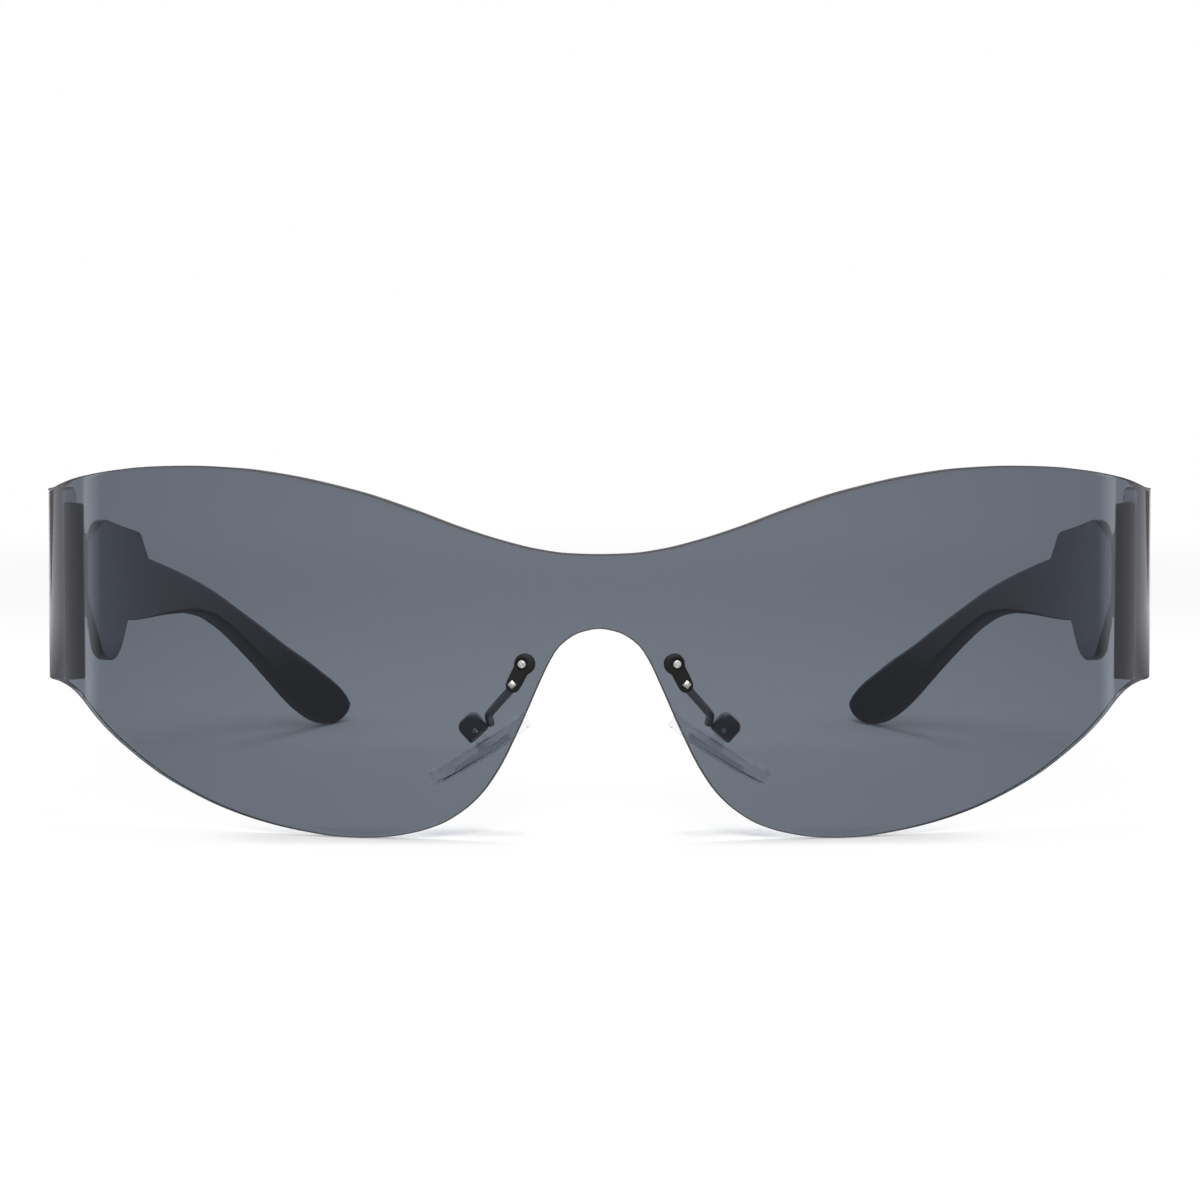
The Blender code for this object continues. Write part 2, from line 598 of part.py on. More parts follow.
def keyhole_outline(head, head_radius, tail, tail_radius):
    """Outline of a round head and a narrower round tail below it."""
    lean = math.atan2(tail[1] - head[1], tail[0] - head[0])
    neck = math.asin(tail_radius / head_radius)
    points = arc(head, head_radius, lean + neck, lean + 2 * math.pi - neck, SMALL_SIDES)
    return points + arc(tail, tail_radius, lean - math.pi / 2, lean + math.pi / 2, SMALL_SIDES // 2)


def mount_frame():
    """Location and rotation of the nose pad mount: on the outer lens face, at its screw."""
    x, depth, turn = lens_plan(MOUNT_RUN)
    return place(x, depth, MOUNT_HEIGHT), (0, 0, turn)


def mount_hole(name, radius, at, start, end):
    """Cutter for a hole through one of the mount's plates."""
    mesh = rod_mesh(name, radius, start, end, axis="Y", sides=SMALL_SIDES)
    mesh.transform(Matrix.Translation((at[0], 0, at[1])))
    return mesh


def make_washer(plastic):
    """Keyhole washer on the front of the lens, recessed for the screw head."""
    tail = (PIN_X + WASHER_TAIL_OFFSETS[0], PIN_Z + WASHER_TAIL_OFFSETS[1])
    outline = keyhole_outline((-WASHER_HEAD_OFFSET, 0), WASHER_HEAD_RADIUS, tail, WASHER_TAIL_RADIUS)
    mesh = plate_mesh("pad_washer_left", outline, WASHER_THICKNESS, facing=True)
    mesh.transform(Matrix.Translation((0, WASHER_FRONT + WASHER_THICKNESS / 2, 0)))
    washer = add_part("pad_washer_left", mesh, plastic, *mount_frame())
    bevel(washer, WASHER_EDGE)
    through = (WASHER_FRONT - CUT_OVERRUN, CUT_OVERRUN)
    recess = (WASHER_FRONT - CUT_OVERRUN, RECESS_FLOOR)
    pin_radius = PIN_SIDE * math.sqrt(0.5) + FIT_GAP / 2
    combine(washer, mount_hole("washer_bore", MOUNT_SCREW_RADIUS + FIT_GAP / 2, (0, 0), *through), "DIFFERENCE")
    combine(washer, mount_hole("washer_recess", MOUNT_HEAD_RADIUS + FIT_GAP, (0, 0), *recess), "DIFFERENCE")
    combine(washer, mount_hole("washer_pin_hole", pin_radius, (PIN_X, PIN_Z), *through), "DIFFERENCE")
    return washer


def make_mount_screw(metal):
    """Slotted screw that clamps washer, lens and base plate."""
    under = -(RECESS_FLOOR - FIT_GAP)
    front = -MOUNT_HEAD_FRONT
    end = -(BASE_FRONT + BASE_THICKNESS)
    profile = (
        (0, front), (MOUNT_HEAD_RADIUS, front), (MOUNT_HEAD_RADIUS, under),
        (MOUNT_SCREW_RADIUS, under), (MOUNT_SCREW_RADIUS, end), (0, end),
    )
    screw = turned_part("lens_screw_left", profile, metal, *mount_frame(), along_y=True)
    slot = block_mesh(
        "mount_slot", (SLOT_WIDTH / 2, 2 * SLOT_DEPTH, 2 * MOUNT_HEAD_RADIUS + CUT_OVERRUN), (0, -front, 0))
    slot.transform(Matrix.Rotation(PIN_LEAN, 4, "Y"))
    combine(screw, slot, "DIFFERENCE")
    return screw


def make_mount_pin(metal):
    """Square pin that keeps the mount from turning on its screw."""
    front = WASHER_FRONT - PIN_PROUD
    length = BASE_FRONT + BASE_THICKNESS - front
    mesh = block_mesh("lens_pin_left", (PIN_SIDE, length, PIN_SIDE))
    mesh.transform(Matrix.Rotation(PIN_TURN, 4, "Y"))
    mesh.transform(Matrix.Translation((PIN_X, front + length / 2, PIN_Z)))
    pin = add_part("lens_pin_left", mesh, metal, *mount_frame())
    bevel(pin, WASHER_EDGE)
    return pin


def pad_frame(tilt):
    """Location and rotation of the pad screw: its axis runs front to back, +X out along the pad or box."""
    return place(PAD_X, PAD_DEPTH, PAD_SCREW_HEIGHT), (0, tilt, 0)


def box_matrix():
    """Matrix of the pad box's frame, at the pad screw."""
    return Matrix.Translation(pad_frame(0)[0]) @ Matrix.Rotation(BOX_TILT, 4, "Y")


def smooth_route(points, steps):
    """Points along a smooth curve through a few points, and on to its last one."""
    ends = [2 * points[0] - points[1]] + list(points) + [2 * points[-1] - points[-2]]
    route = []
    for before, start, end, after in zip(ends, ends[1:], ends[2:], ends[3:]):
        for i in range(steps):
            t = i / steps
            cubic = (-before + 3 * start - 3 * end + after) * t**3
            square = (2 * before - 5 * start + 4 * end - after) * t**2
            route.append((cubic + square + (end - before) * t + 2 * start) / 2)
    return route + [points[-1]]


def wire_route():
    """Middle line of the wire, from inside the base plate to its end beside the box wall nearest the nose."""
    mount, turn = mount_frame()
    tail = Vector((PIN_X, BASE_FRONT + BASE_THICKNESS / 2, PIN_Z - PIN_SIDE / 2))
    start = mount + Matrix.Rotation(turn[2], 3, "Z") @ tail
    beside = -(BOX_LENGTH / 2 + WIRE_RADIUS - BRAZE_DEPTH)
    end = box_matrix() @ Vector((beside, 0, -WIRE_END_BELOW))
    middle = [place(*point) for point in (WIRE_MIDDLE, WIRE_BEND, WIRE_HOOK)]
    return smooth_route([start] + middle + [end], WIRE_STEPS)


def make_pad_arm(metal):
    """Wire arm, brazed in one: keyhole base plate behind the lens, bent wire and open pad box."""
    box_height = BOX_ABOVE + BOX_BELOW
    box_middle = (BOX_ABOVE - BOX_BELOW) / 2
    half = BOX_LENGTH / 2
    crown = BOX_ABOVE - BOX_ROUNDING
    outline = [(-half, -BOX_BELOW), (half, -BOX_BELOW)]
    outline += arc((half - BOX_ROUNDING, crown), BOX_ROUNDING, 0, math.pi / 2, 4)
    outline += arc((BOX_ROUNDING - half, crown), BOX_ROUNDING, math.pi / 2, math.pi, 4)
    mesh = plate_mesh("pad_arm_left", outline, BOX_WIDTH, facing=True)
    arm = add_part("pad_arm_left", mesh, metal, *pad_frame(BOX_TILT))
    hollow = (BOX_LENGTH - 2 * BOX_WALL, BOX_WIDTH - 2 * BOX_WALL, box_height)
    combine(arm, block_mesh("box_hollow", hollow, (0, 0, box_middle - BOX_WALL)), "DIFFERENCE")
    into_arm = box_matrix().inverted()
    location, rotation = mount_frame()
    mount = Matrix.Translation(location) @ Matrix.Rotation(rotation[2], 4, "Z")
    outline = keyhole_outline((0, 0), BASE_HEAD_RADIUS, (PIN_X, PIN_Z), BASE_TAIL_RADIUS)
    base = plate_mesh("base_plate", outline, BASE_THICKNESS, facing=True)
    base.transform(into_arm @ mount @ Matrix.Translation((0, BASE_FRONT + BASE_THICKNESS / 2, 0)))
    wire = wire_mesh("wire", wire_route(), into_arm)
    combine(arm, wire, "UNION")
    combine(arm, base, "UNION")
    through = (BASE_FRONT - CUT_OVERRUN / 2, BASE_FRONT + BASE_THICKNESS + CUT_OVERRUN)
    pin_radius = PIN_SIDE * math.sqrt(0.5) + FIT_GAP / 2
    for name, radius, at in (
        ("base_bore", MOUNT_SCREW_RADIUS + FIT_GAP / 2, (0, 0)),
        ("base_pin_hole", pin_radius, (PIN_X, PIN_Z)),
    ):
        hole = mount_hole(name, radius, at, *through)
        hole.transform(into_arm @ mount)
        combine(arm, hole, "DIFFERENCE")
    reach = BOX_WIDTH / 2 + CUT_OVERRUN
    cross = rod_mesh("box_bore", PAD_SCREW_RADIUS + FIT_GAP / 2, -reach, reach, "Y", SMALL_SIDES)
    combine(arm, cross, "DIFFERENCE")
    return arm


def wire_mesh(name, route, into):
    """Closed tube along a route, as a mesh in another piece's coordinates."""
    curve = bpy.data.curves.new(name, "CURVE")
    curve.dimensions = "3D"
    curve.bevel_depth = WIRE_RADIUS
    curve.bevel_resolution = 2
    curve.use_fill_caps = True
    spline = curve.splines.new("POLY")
    spline.points.add(len(route) - 1)
    for point, position in zip(spline.points, route):
        point.co = (*position, 1)
    guide = add_object(name + "_route", curve, CUTTERS)
    mesh = evaluated_mesh(guide, name)
    bpy.data.objects.remove(guide)
    bpy.data.curves.remove(curve)
    bm = bmesh.new()
    bm.from_mesh(mesh)
    bpy.data.meshes.remove(mesh)
    bmesh.ops.remove_doubles(bm, verts=bm.verts, dist=0.01 * FIT_GAP)
    bmesh.ops.transform(bm, matrix=into, verts=bm.verts)
    return finish_mesh(bm, name)


def make_pad_screw(metal):
    """Small screw through the box and the pad's tongue, the axis on which the pad rocks."""
    head = BOX_WIDTH / 2 + FIT_GAP
    profile = (
        (0, head + PAD_HEAD_HEIGHT), (PAD_HEAD_RADIUS, head + PAD_HEAD_HEIGHT), (PAD_HEAD_RADIUS, head),
        (PAD_SCREW_RADIUS, head), (PAD_SCREW_RADIUS, -BOX_WIDTH / 2), (0, -BOX_WIDTH / 2),
    )
    return turned_part("pad_screw_left", profile, metal, *pad_frame(BOX_TILT), along_y=True)


def tongue_outline(radius):
    """Outline of the tongue: down from round the pad screw to the middle of the pad."""
    top = arc((0, 0), radius, 0, math.pi, SMALL_SIDES // 2)
    return top + [(-radius, -PAD_DROP), (radius, -PAD_DROP)]


def make_pad_core(plastic):
    """Stiff core: a plate inside the cushion with a tongue that hangs on the pad screw."""
    mesh = block_mesh("pad_core_left", (CORE_LENGTH, CORE_WIDTH, CORE_THICKNESS), (PAD_SHIFT, 0, -PAD_DROP))
    core = add_part("pad_core_left", mesh, plastic, *pad_frame(PAD_TILT))
    bevel(core, CORE_THICKNESS / 4)
    tongue = plate_mesh("tongue", tongue_outline(TONGUE_RADIUS), TONGUE_THICKNESS, facing=True)
    combine(core, tongue, "UNION")
    bore = rod_mesh("tongue_bore", PAD_SCREW_RADIUS + FIT_GAP, -BOX_WIDTH, BOX_WIDTH, "Y", SMALL_SIDES)
    combine(core, bore, "DIFFERENCE")
    return core


def make_nose_pad(silicone):
    """Nose pad: a soft tapered cushion, hollowed for its core and slotted where the tongue leaves it."""
    bm = bmesh.new()
    bmesh.ops.create_cube(bm, size=1)
    bmesh.ops.subdivide_edges(bm, edges=bm.edges, cuts=2, use_grid_fill=True)
    for vert in bm.verts:
        along, across, through = (
            c if abs(c) > 0.4 else math.copysign(PAD_FULLNESS_SHARE / 2, c) for c in vert.co)
        taper = 1 - (1 - PAD_NOSE_END_SHARE) * (0.5 - along)
        vert.co.x = along * PAD_LENGTH + PAD_SHIFT
        vert.co.y = across * PAD_WIDTH * taper
        vert.co.z = through * PAD_THICKNESS - PAD_DROP + PAD_BOW * (2 * along)**2
    mesh = finish_mesh(bm, "nose_pad_left", 180)
    pad = add_part("nose_pad_left", mesh, silicone, *pad_frame(PAD_TILT))
    rounding = pad.modifiers.new("rounding", "SUBSURF")
    rounding.levels = PAD_LEVELS
    rounding.render_levels = PAD_LEVELS
    room = 2 * FIT_GAP
    pocket = (CORE_LENGTH + room, CORE_WIDTH + room, CORE_THICKNESS + room)
    combine(pad, block_mesh("core_pocket", pocket, (PAD_SHIFT, 0, -PAD_DROP)), "DIFFERENCE")
    slot = (2 * TONGUE_RADIUS + room, TONGUE_THICKNESS + room, PAD_THICKNESS)
    combine(pad, block_mesh("tongue_slot", slot, (0, 0, PAD_THICKNESS / 2 - PAD_DROP)), "DIFFERENCE")
    return pad


def build():
    """Model every piece on the left, mirror it to the right, and add the lens between them."""
    black = material("black_plastic", (0.012, 0.012, 0.014), 0.18)
    washer_black = material("washer_black", (0.01, 0.01, 0.01), 0.35)
    gunmetal = material("gunmetal", (0.05, 0.05, 0.055), 0.3, 0.9)
    steel = material("steel", (0.75, 0.74, 0.71), 0.25, 1.0)
    silicone = material("clear_silicone", (0.85, 0.88, 0.9), 0.2, 0.0, 0.8)
    core_clear = material("clear_core", (0.6, 0.62, 0.65), 0.3, 0.0, 0.5)
    make_lens()
    left_pieces = (
        make_endpiece(black), make_temple(black), make_hinge_screw(steel), make_washer(washer_black),
        make_mount_screw(steel), make_mount_pin(steel), make_pad_arm(gunmetal), make_pad_screw(steel),
        make_nose_pad(silicone), make_pad_core(core_clear),
    )
    for piece in left_pieces:
        make_twin(piece, piece.name.replace("_left", "_right"))


for old in list(bpy.data.objects):
    bpy.data.objects.remove(old)
PARTS = bpy.data.collections.new("wrap_sunglasses")
CUTTERS = bpy.data.collections.new("cutters")
bpy.context.scene.collection.children.link(PARTS)
bpy.context.scene.collection.children.link(CUTTERS)
build()
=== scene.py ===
"""Looks of the rimless wrap-around sunglasses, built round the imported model.

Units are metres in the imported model's own frame: +Z is up, the lens faces -Y and the temples run towards +Y.
Depth is measured backwards from the middle of the lens, and a run along the lens from its middle.
Each left piece is shaped, and its right twin is the mirror image.
"""

from __future__ import annotations

import logging
import math
from collections.abc import Callable, Sequence
from dataclasses import dataclass, field
from enum import Enum

import bmesh
import bpy
import numpy as np
from mathutils import Matrix, Vector


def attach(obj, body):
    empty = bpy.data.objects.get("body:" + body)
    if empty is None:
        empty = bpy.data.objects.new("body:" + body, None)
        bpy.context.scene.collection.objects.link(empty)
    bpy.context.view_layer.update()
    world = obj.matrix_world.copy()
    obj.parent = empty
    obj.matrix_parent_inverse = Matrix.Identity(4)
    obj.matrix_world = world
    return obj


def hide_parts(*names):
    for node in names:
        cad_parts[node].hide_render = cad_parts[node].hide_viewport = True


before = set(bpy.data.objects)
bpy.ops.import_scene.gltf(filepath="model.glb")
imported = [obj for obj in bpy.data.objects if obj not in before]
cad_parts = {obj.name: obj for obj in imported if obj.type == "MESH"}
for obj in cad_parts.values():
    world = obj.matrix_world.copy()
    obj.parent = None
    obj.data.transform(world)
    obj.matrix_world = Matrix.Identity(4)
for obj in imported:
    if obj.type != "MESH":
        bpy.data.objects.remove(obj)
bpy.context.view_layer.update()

LOG = logging.getLogger("wrap_sunglasses")
TURNING = "turning_radius"
RIM = "rim"
GAP = 0.0003            # between neighbouring pieces
FIT_GAP = 0.0002        # round small fasteners in their holes
OVERRUN = 0.001         # how far a cutter runs past what it cuts
WELD = 0.000001         # points nearer than this are one
MIX_COLOURS = (6, 7)    # the Mix node's colour sockets, by number
MIX_RESULT = 2          # its colour output, by number

Point = Sequence[float]
Shares = Sequence[tuple[float, float]]
Outlines = Callable[[np.ndarray], tuple[np.ndarray, ...]]


class Side(Enum):
    """The wearer's left and right."""

    LEFT = 1
    RIGHT = -1

    @property
    def label(self) -> str:
        """Name of the side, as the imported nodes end."""
        return self.name.lower()


class Value:
    """A number socket of a node tree, on which Python's operators add Math nodes."""

    def __init__(self, graph: Graph, socket: bpy.types.NodeSocket) -> None:
        """Wraps a socket.

        Args:
            graph: the graph that the socket belongs to.
            socket: an output socket that holds a number.
        """
        self.graph = graph
        self.socket = socket

    def __add__(self, other: Number) -> Value:
        """Sum."""
        return self.graph.math("ADD", self, other)

    def __sub__(self, other: Number) -> Value:
        """Difference."""
        return self.graph.math("SUBTRACT", self, other)

    def __rsub__(self, other: Number) -> Value:
        """Difference, with the number first."""
        return self.graph.math("SUBTRACT", other, self)

    def __mul__(self, other: Number) -> Value:
        """Product."""
        return self.graph.math("MULTIPLY", self, other)

    def __truediv__(self, other: Number) -> Value:
        """Quotient."""
        return self.graph.math("DIVIDE", self, other)

    __radd__ = __add__
    __rmul__ = __mul__


Number = float | Value


class Graph:
    """Adds nodes to one node tree."""

    def __init__(self, tree: bpy.types.NodeTree) -> None:
        """Starts on a tree.

        Args:
            tree: the shader or geometry node tree to add to.
        """
        self.tree = tree

    def node(self, kind: str, settings: dict | None = None, inputs: dict | None = None) -> bpy.types.Node:
        """Adds a node.

        Args:
            kind: Blender's name of the node type.
            settings: the node's own properties, set before its sockets.
            inputs: values or links of its input sockets, by name or number.

        Returns:
            The new node.
        """
        made = self.tree.nodes.new(kind)
        for name, setting in (settings or {}).items():
            setattr(made, name, setting)
        for key, given in (inputs or {}).items():
            self.feed(made.inputs[key], given)
        return made

    def feed(self, socket: bpy.types.NodeSocket, given: object) -> None:
        """Links a socket, or sets its value.

        Args:
            socket: the input socket.
            given: a Value, an output socket, or a plain value.
        """
        if isinstance(given, Value):
            given = given.socket
        if isinstance(given, bpy.types.NodeSocket):
            self.tree.links.new(given, socket)
        else:
            socket.default_value = given

    def out(self, kind: str, output: str | int, settings: dict | None = None,
            inputs: dict | None = None) -> Value:
        """Adds a node and wraps one of its outputs.

        Args:
            kind: Blender's name of the node type.
            output: the output's name or number.
            settings: the node's own properties.
            inputs: values or links of its input sockets.

        Returns:
            The output as a Value.
        """
        return Value(self, self.node(kind, settings, inputs).outputs[output])

    def math(self, operation: str, *numbers: Number) -> Value:
        """Adds a Math node.

        Args:
            operation: Blender's name of the operation.
            numbers: its operands.

        Returns:
            The result.
        """
        return self.out("ShaderNodeMath", 0, {"operation": operation}, dict(enumerate(numbers)))

    def smooth(self, value: Number, low: float, high: float, start: float = 0.0, end: float = 1.0) -> Value:
        """Smooth step from start to end while value goes from low to high.

        Args:
            value: the number that is followed.
            low: where the step starts.
            high: where the step ends.
            start: the result up to low.
            end: the result from high on.

        Returns:
            The stepped number.
        """
        given = {"Value": value, "From Min": low, "From Max": high, "To Min": start, "To Max": end}
        return self.out("ShaderNodeMapRange", 0, {"interpolation_type": "SMOOTHSTEP"}, given)

    def split(self, place: bpy.types.NodeSocket) -> list[Value]:
        """Splits a place into its three numbers."""
        parts = self.node("ShaderNodeSeparateXYZ", None, {0: place}).outputs
        return [Value(self, part) for part in parts]

    def named(self, source: bpy.types.Node, names: Sequence[str]) -> list[Value]:
        """Wraps the outputs of a node that have some names."""
        return [Value(self, source.outputs[name]) for name in names]

    def blend(self, factor: Number, first: object, second: object) -> bpy.types.NodeSocket:
        """Mixes two colours.

        Args:
            factor: 0 for the first colour and 1 for the second.
            first: a colour or a colour socket.
            second: a colour or a colour socket.

        Returns:
            The mixed colour's socket.
        """
        first_socket, second_socket = MIX_COLOURS
        mixed = self.node("ShaderNodeMix", {"data_type": "RGBA"}, {
            0: factor, first_socket: first, second_socket: second})
        return mixed.outputs[MIX_RESULT]


@dataclass(frozen=True)
class Layer:
    """A layer of noise: its grains per metre, how many finer layers it has, and its scale along each axis."""

    grains: float
    detail: float = 2.0
    scale: Point = (1, 1, 1)


@dataclass(frozen=True)
class Finish:
    """A procedural material: a Principled surface whose detail its subclasses add."""

    name: str
    colour: tuple[float, float, float]
    roughness: float
    metallic: float = 0.0
    ior: float = 1.5
    transmission: float = 0.0

    def material(self) -> bpy.types.Material:
        """Makes the material, once for each name.

        Returns:
            The material.
        """
        found = bpy.data.materials.get(self.name)
        if found:
            return found
        made = bpy.data.materials.new(self.name)
        made.use_nodes = True
        graph = Graph(made.node_tree)
        shader = made.node_tree.nodes["Principled BSDF"]
        shader.inputs["Base Color"].default_value = (*self.colour, 1)
        shader.inputs["Roughness"].default_value = self.roughness
        shader.inputs["Metallic"].default_value = self.metallic
        shader.inputs["IOR"].default_value = self.ior
        shader.inputs["Transmission Weight"].default_value = self.transmission
        made.diffuse_color = (*self.colour, 1)
        self.detail(graph, shader)
        return made

    def detail(self, graph: Graph, shader: bpy.types.Node) -> None:
        """Adds what varies over the surface.

        Args:
            graph: the material's graph.
            shader: its Principled node.
        """

    @staticmethod
    def noise(graph: Graph, layer: Layer) -> Value:
        """Adds a layer of noise, which lies on the piece's own coordinates.

        Args:
            graph: the material's graph.
            layer: the layer.

        Returns:
            The noise, from 0 to 1.
        """
        seen = graph.node("ShaderNodeTexCoord").outputs["Object"]
        place = graph.node("ShaderNodeMapping", None, {"Vector": seen, "Scale": layer.scale}).outputs[0]
        return graph.out("ShaderNodeTexNoise", 0, None, {
            "Vector": place, "Scale": layer.grains, "Detail": layer.detail})

    def tint(self, graph: Graph, shader: bpy.types.Node, mask: Number, other: Point) -> None:
        """Feeds the base colour from a mix of the finish's own colour and another.

        Args:
            graph: the material's graph.
            shader: its Principled node.
            mask: how much of the other colour shows.
            other: the other colour.
        """
        mixed = graph.blend(mask, (*self.colour, 1), (*other, 1))
        graph.feed(shader.inputs["Base Color"], mixed)

    @staticmethod
    def bump(graph: Graph, shader: bpy.types.Node, height: Number, depth: float, strength: float) -> None:
        """Feeds the normal from a height.

        Args:
            graph: the material's graph.
            shader: its Principled node.
            height: the height, from 0 to 1.
            depth: how deep 0 lies below 1, in metres.
            strength: how strongly it shows.
        """
        given = {"Height": height, "Distance": depth, "Strength": strength}
        graph.feed(shader.inputs["Normal"], graph.node("ShaderNodeBump", None, given).outputs[0])


@dataclass(frozen=True)
class SmokeSheet(Finish):
    """Polished smoke-grey sheet, darker where light goes further through it, with a dull cut edge painted
    near-black as painted shade for the dark line along the lens's edge.
    """

    absorbed: tuple[float, float, float] = (0.041, 0.103, 0.198)
    density: float = 1060.0
    cloud: Layer = Layer(60, 3)
    streak: Layer = Layer(500, 2, (1, 1, 0.15))
    cloud_share: float = 0.7
    smudged: tuple[float, float] = (0.45, 0.75)
    smudge_roughness: float = 0.035
    # near-black colour of the cut edge: painted shade for the dark line along the lens's edge
    cut: tuple[float, float, float] = (0.055, 0.050, 0.050)
    cut_roughness: float = 0.55
    cut_polish: float = 0.07
    cut_ior: float = 1.2
    line: Layer = Layer(5000, 2, (0.04, 1, 0.04))
    line_roughness: float = 0.15
    line_depth: float = 0.000004
    line_strength: float = 0.3

    def cut_edge(self, graph: Graph) -> bpy.types.NodeSocket:
        """Adds the look of the cut edge, left dull by the cutter, with fine lines along the sheet's faces, and
        painted near-black: painted shade for the dark line along the lens's edge.

        Args:
            graph: the material's graph.

        Returns:
            Its shader.
        """
        lines = self.noise(graph, self.line)
        edge = graph.node("ShaderNodeBsdfPrincipled", None, {
            "Base Color": (*self.cut, 1), "IOR": self.cut_ior,
            "Roughness": self.cut_roughness + lines * self.line_roughness - self.cut_polish})
        self.bump(graph, edge, lines, self.line_depth, self.line_strength)
        return edge.outputs[0]

    def detail(self, graph: Graph, shader: bpy.types.Node) -> None:
        """Adds faint smudges, the cut edge with its painted shade, the tint inside, and a way for lamps to
        pass.

        Args:
            graph: the material's graph.
            shader: its Principled node.
        """
        cloud = self.noise(graph, self.cloud) * self.cloud_share
        streak = self.noise(graph, self.streak) * (1 - self.cloud_share)
        smudge = graph.smooth(cloud + streak, *self.smudged)
        graph.feed(shader.inputs["Roughness"], smudge * self.smudge_roughness + self.roughness)
        rim = graph.out("ShaderNodeAttribute", "Fac", {"attribute_name": RIM})
        outside = 1 - graph.out("ShaderNodeNewGeometry", "Backfacing")
        # the rim's outer side shows the cut edge painted near-black, painted shade for the lens's dark edge
        # line
        body = graph.node("ShaderNodeMixShader", None, {
            0: rim * outside, 1: shader.outputs[0], 2: self.cut_edge(graph)})
        lamps = graph.out("ShaderNodeLightPath", "Is Shadow Ray")
        clear = graph.node("ShaderNodeBsdfTransparent").outputs[0]
        mixed = graph.node("ShaderNodeMixShader", None, {0: lamps, 1: body.outputs[0], 2: clear})
        inside = graph.node("ShaderNodeVolumeAbsorption", None, {
            "Color": (*self.absorbed, 1), "Density": self.density})
        output = graph.tree.nodes["Material Output"]
        graph.feed(output.inputs["Surface"], mixed.outputs[0])
        graph.feed(output.inputs["Volume"], inside.outputs[0])


@dataclass(frozen=True)
class MouldedPlastic(Finish):
    """Moulded black plastic with a fine skin, flow marks and hairline rubs."""

    skin: Layer = Layer(1400)
    skin_depth: float = 0.0000008
    skin_strength: float = 0.35
    flow: Layer = Layer(90, 3, (1, 0.25, 1))
    flow_shown: tuple[float, float] = (0.5, 0.7)
    flow_tint: float = 0.2
    flow_roughness: float = 0.08
    hair: Layer = Layer(5200, 1, (1, 0.02, 1))
    hair_shown: tuple[float, float] = (0.66, 0.74)
    rub_tint: float = 0.6
    rub_roughness: float = 0.12
    polish: float = 0.04
    worn: tuple[float, float, float] = (0.03, 0.03, 0.033)

    def detail(self, graph: Graph, shader: bpy.types.Node) -> None:
        """Adds grain, flow marks and rubs.

        Args:
            graph: the material's graph.
            shader: its Principled node.
        """
        flow = self.noise(graph, self.flow)
        hair = self.noise(graph, self.hair)
        rub = graph.smooth(hair, *self.hair_shown) * graph.smooth(flow, *self.flow_shown)
        self.tint(graph, shader, rub * self.rub_tint + flow * self.flow_tint, self.worn)
        rough = self.roughness + flow * self.flow_roughness + rub * self.rub_roughness - self.polish
        graph.feed(shader.inputs["Roughness"], rough)
        self.bump(graph, shader, self.noise(graph, self.skin), self.skin_depth, self.skin_strength)


@dataclass(frozen=True)
class PlatedMetal(Finish):
    """Black plating on drawn wire and folded sheet, thin where fingers and pads rub."""

    patch: Layer = Layer(700, 3)
    thinned: tuple[float, float] = (0.55, 0.8)
    thin_tint: float = 0.15
    patch_roughness: float = 0.14
    polish: float = 0.05
    pit: Layer = Layer(9000, 1)
    pit_depth: float = 0.000002
    pit_strength: float = 0.3
    bare: tuple[float, float, float] = (0.22, 0.21, 0.2)

    def detail(self, graph: Graph, shader: bpy.types.Node) -> None:
        """Adds thin places and a fine pitting.

        Args:
            graph: the material's graph.
            shader: its Principled node.
        """
        patch = self.noise(graph, self.patch)
        self.tint(graph, shader, graph.smooth(patch, *self.thinned) * self.thin_tint, self.bare)
        graph.feed(shader.inputs["Roughness"], self.roughness + patch * self.patch_roughness - self.polish)
        self.bump(graph, shader, self.noise(graph, self.pit), self.pit_depth, self.pit_strength)


@dataclass(frozen=True)
class TurnedSteel(Finish):
    """Bright steel with the rings that a lathe leaves round each screw's axis."""

    ring: float = 0.00006
    ring_roughness: float = 0.05
    ring_depth: float = 0.000004
    ring_strength: float = 0.25
    blot: Layer = Layer(1500, 3)
    stained: tuple[float, float] = (0.5, 0.8)
    stain_tint: float = 0.5
    stain_roughness: float = 0.12
    stain: tuple[float, float, float] = (0.5, 0.48, 0.44)

    def detail(self, graph: Graph, shader: bpy.types.Node) -> None:
        """Adds lathe rings, read from the distance to the axis, and faint stains.

        Args:
            graph: the material's graph.
            shader: its Principled node.
        """
        radius = graph.out("ShaderNodeAttribute", "Fac", {"attribute_name": TURNING})
        rings = graph.math("SINE", radius * (2 * math.pi / self.ring)) * 0.5 + 0.5
        stain = graph.smooth(self.noise(graph, self.blot), *self.stained)
        self.tint(graph, shader, stain * self.stain_tint, self.stain)
        rough = self.roughness + stain * self.stain_roughness + rings * self.ring_roughness
        graph.feed(shader.inputs["Roughness"], rough)
        self.bump(graph, shader, rings, self.ring_depth, self.ring_strength)


@dataclass(frozen=True)
class ClearMoulding(Finish):
    """Clear moulded plastic or silicone with a faint cloud and a soft skin."""

    mist: Layer = Layer(450, 3)
    misted: tuple[float, float] = (0.4, 0.75)
    mist_tint: float = 0.6
    mist_roughness: float = 0.08
    polish: float = 0.02
    skin: Layer = Layer(3200)
    skin_depth: float = 0.00001
    skin_strength: float = 0.3
    cloud: tuple[float, float, float] = (0.8, 0.83, 0.85)

    def detail(self, graph: Graph, shader: bpy.types.Node) -> None:
        """Adds the cloud and the skin.

        Args:
            graph: the material's graph.
            shader: its Principled node.
        """
        mist = self.noise(graph, self.mist)
        self.tint(graph, shader, graph.smooth(mist, *self.misted) * self.mist_tint, self.cloud)
        graph.feed(shader.inputs["Roughness"], self.roughness + mist * self.mist_roughness - self.polish)
        self.bump(graph, shader, self.noise(graph, self.skin), self.skin_depth, self.skin_strength)


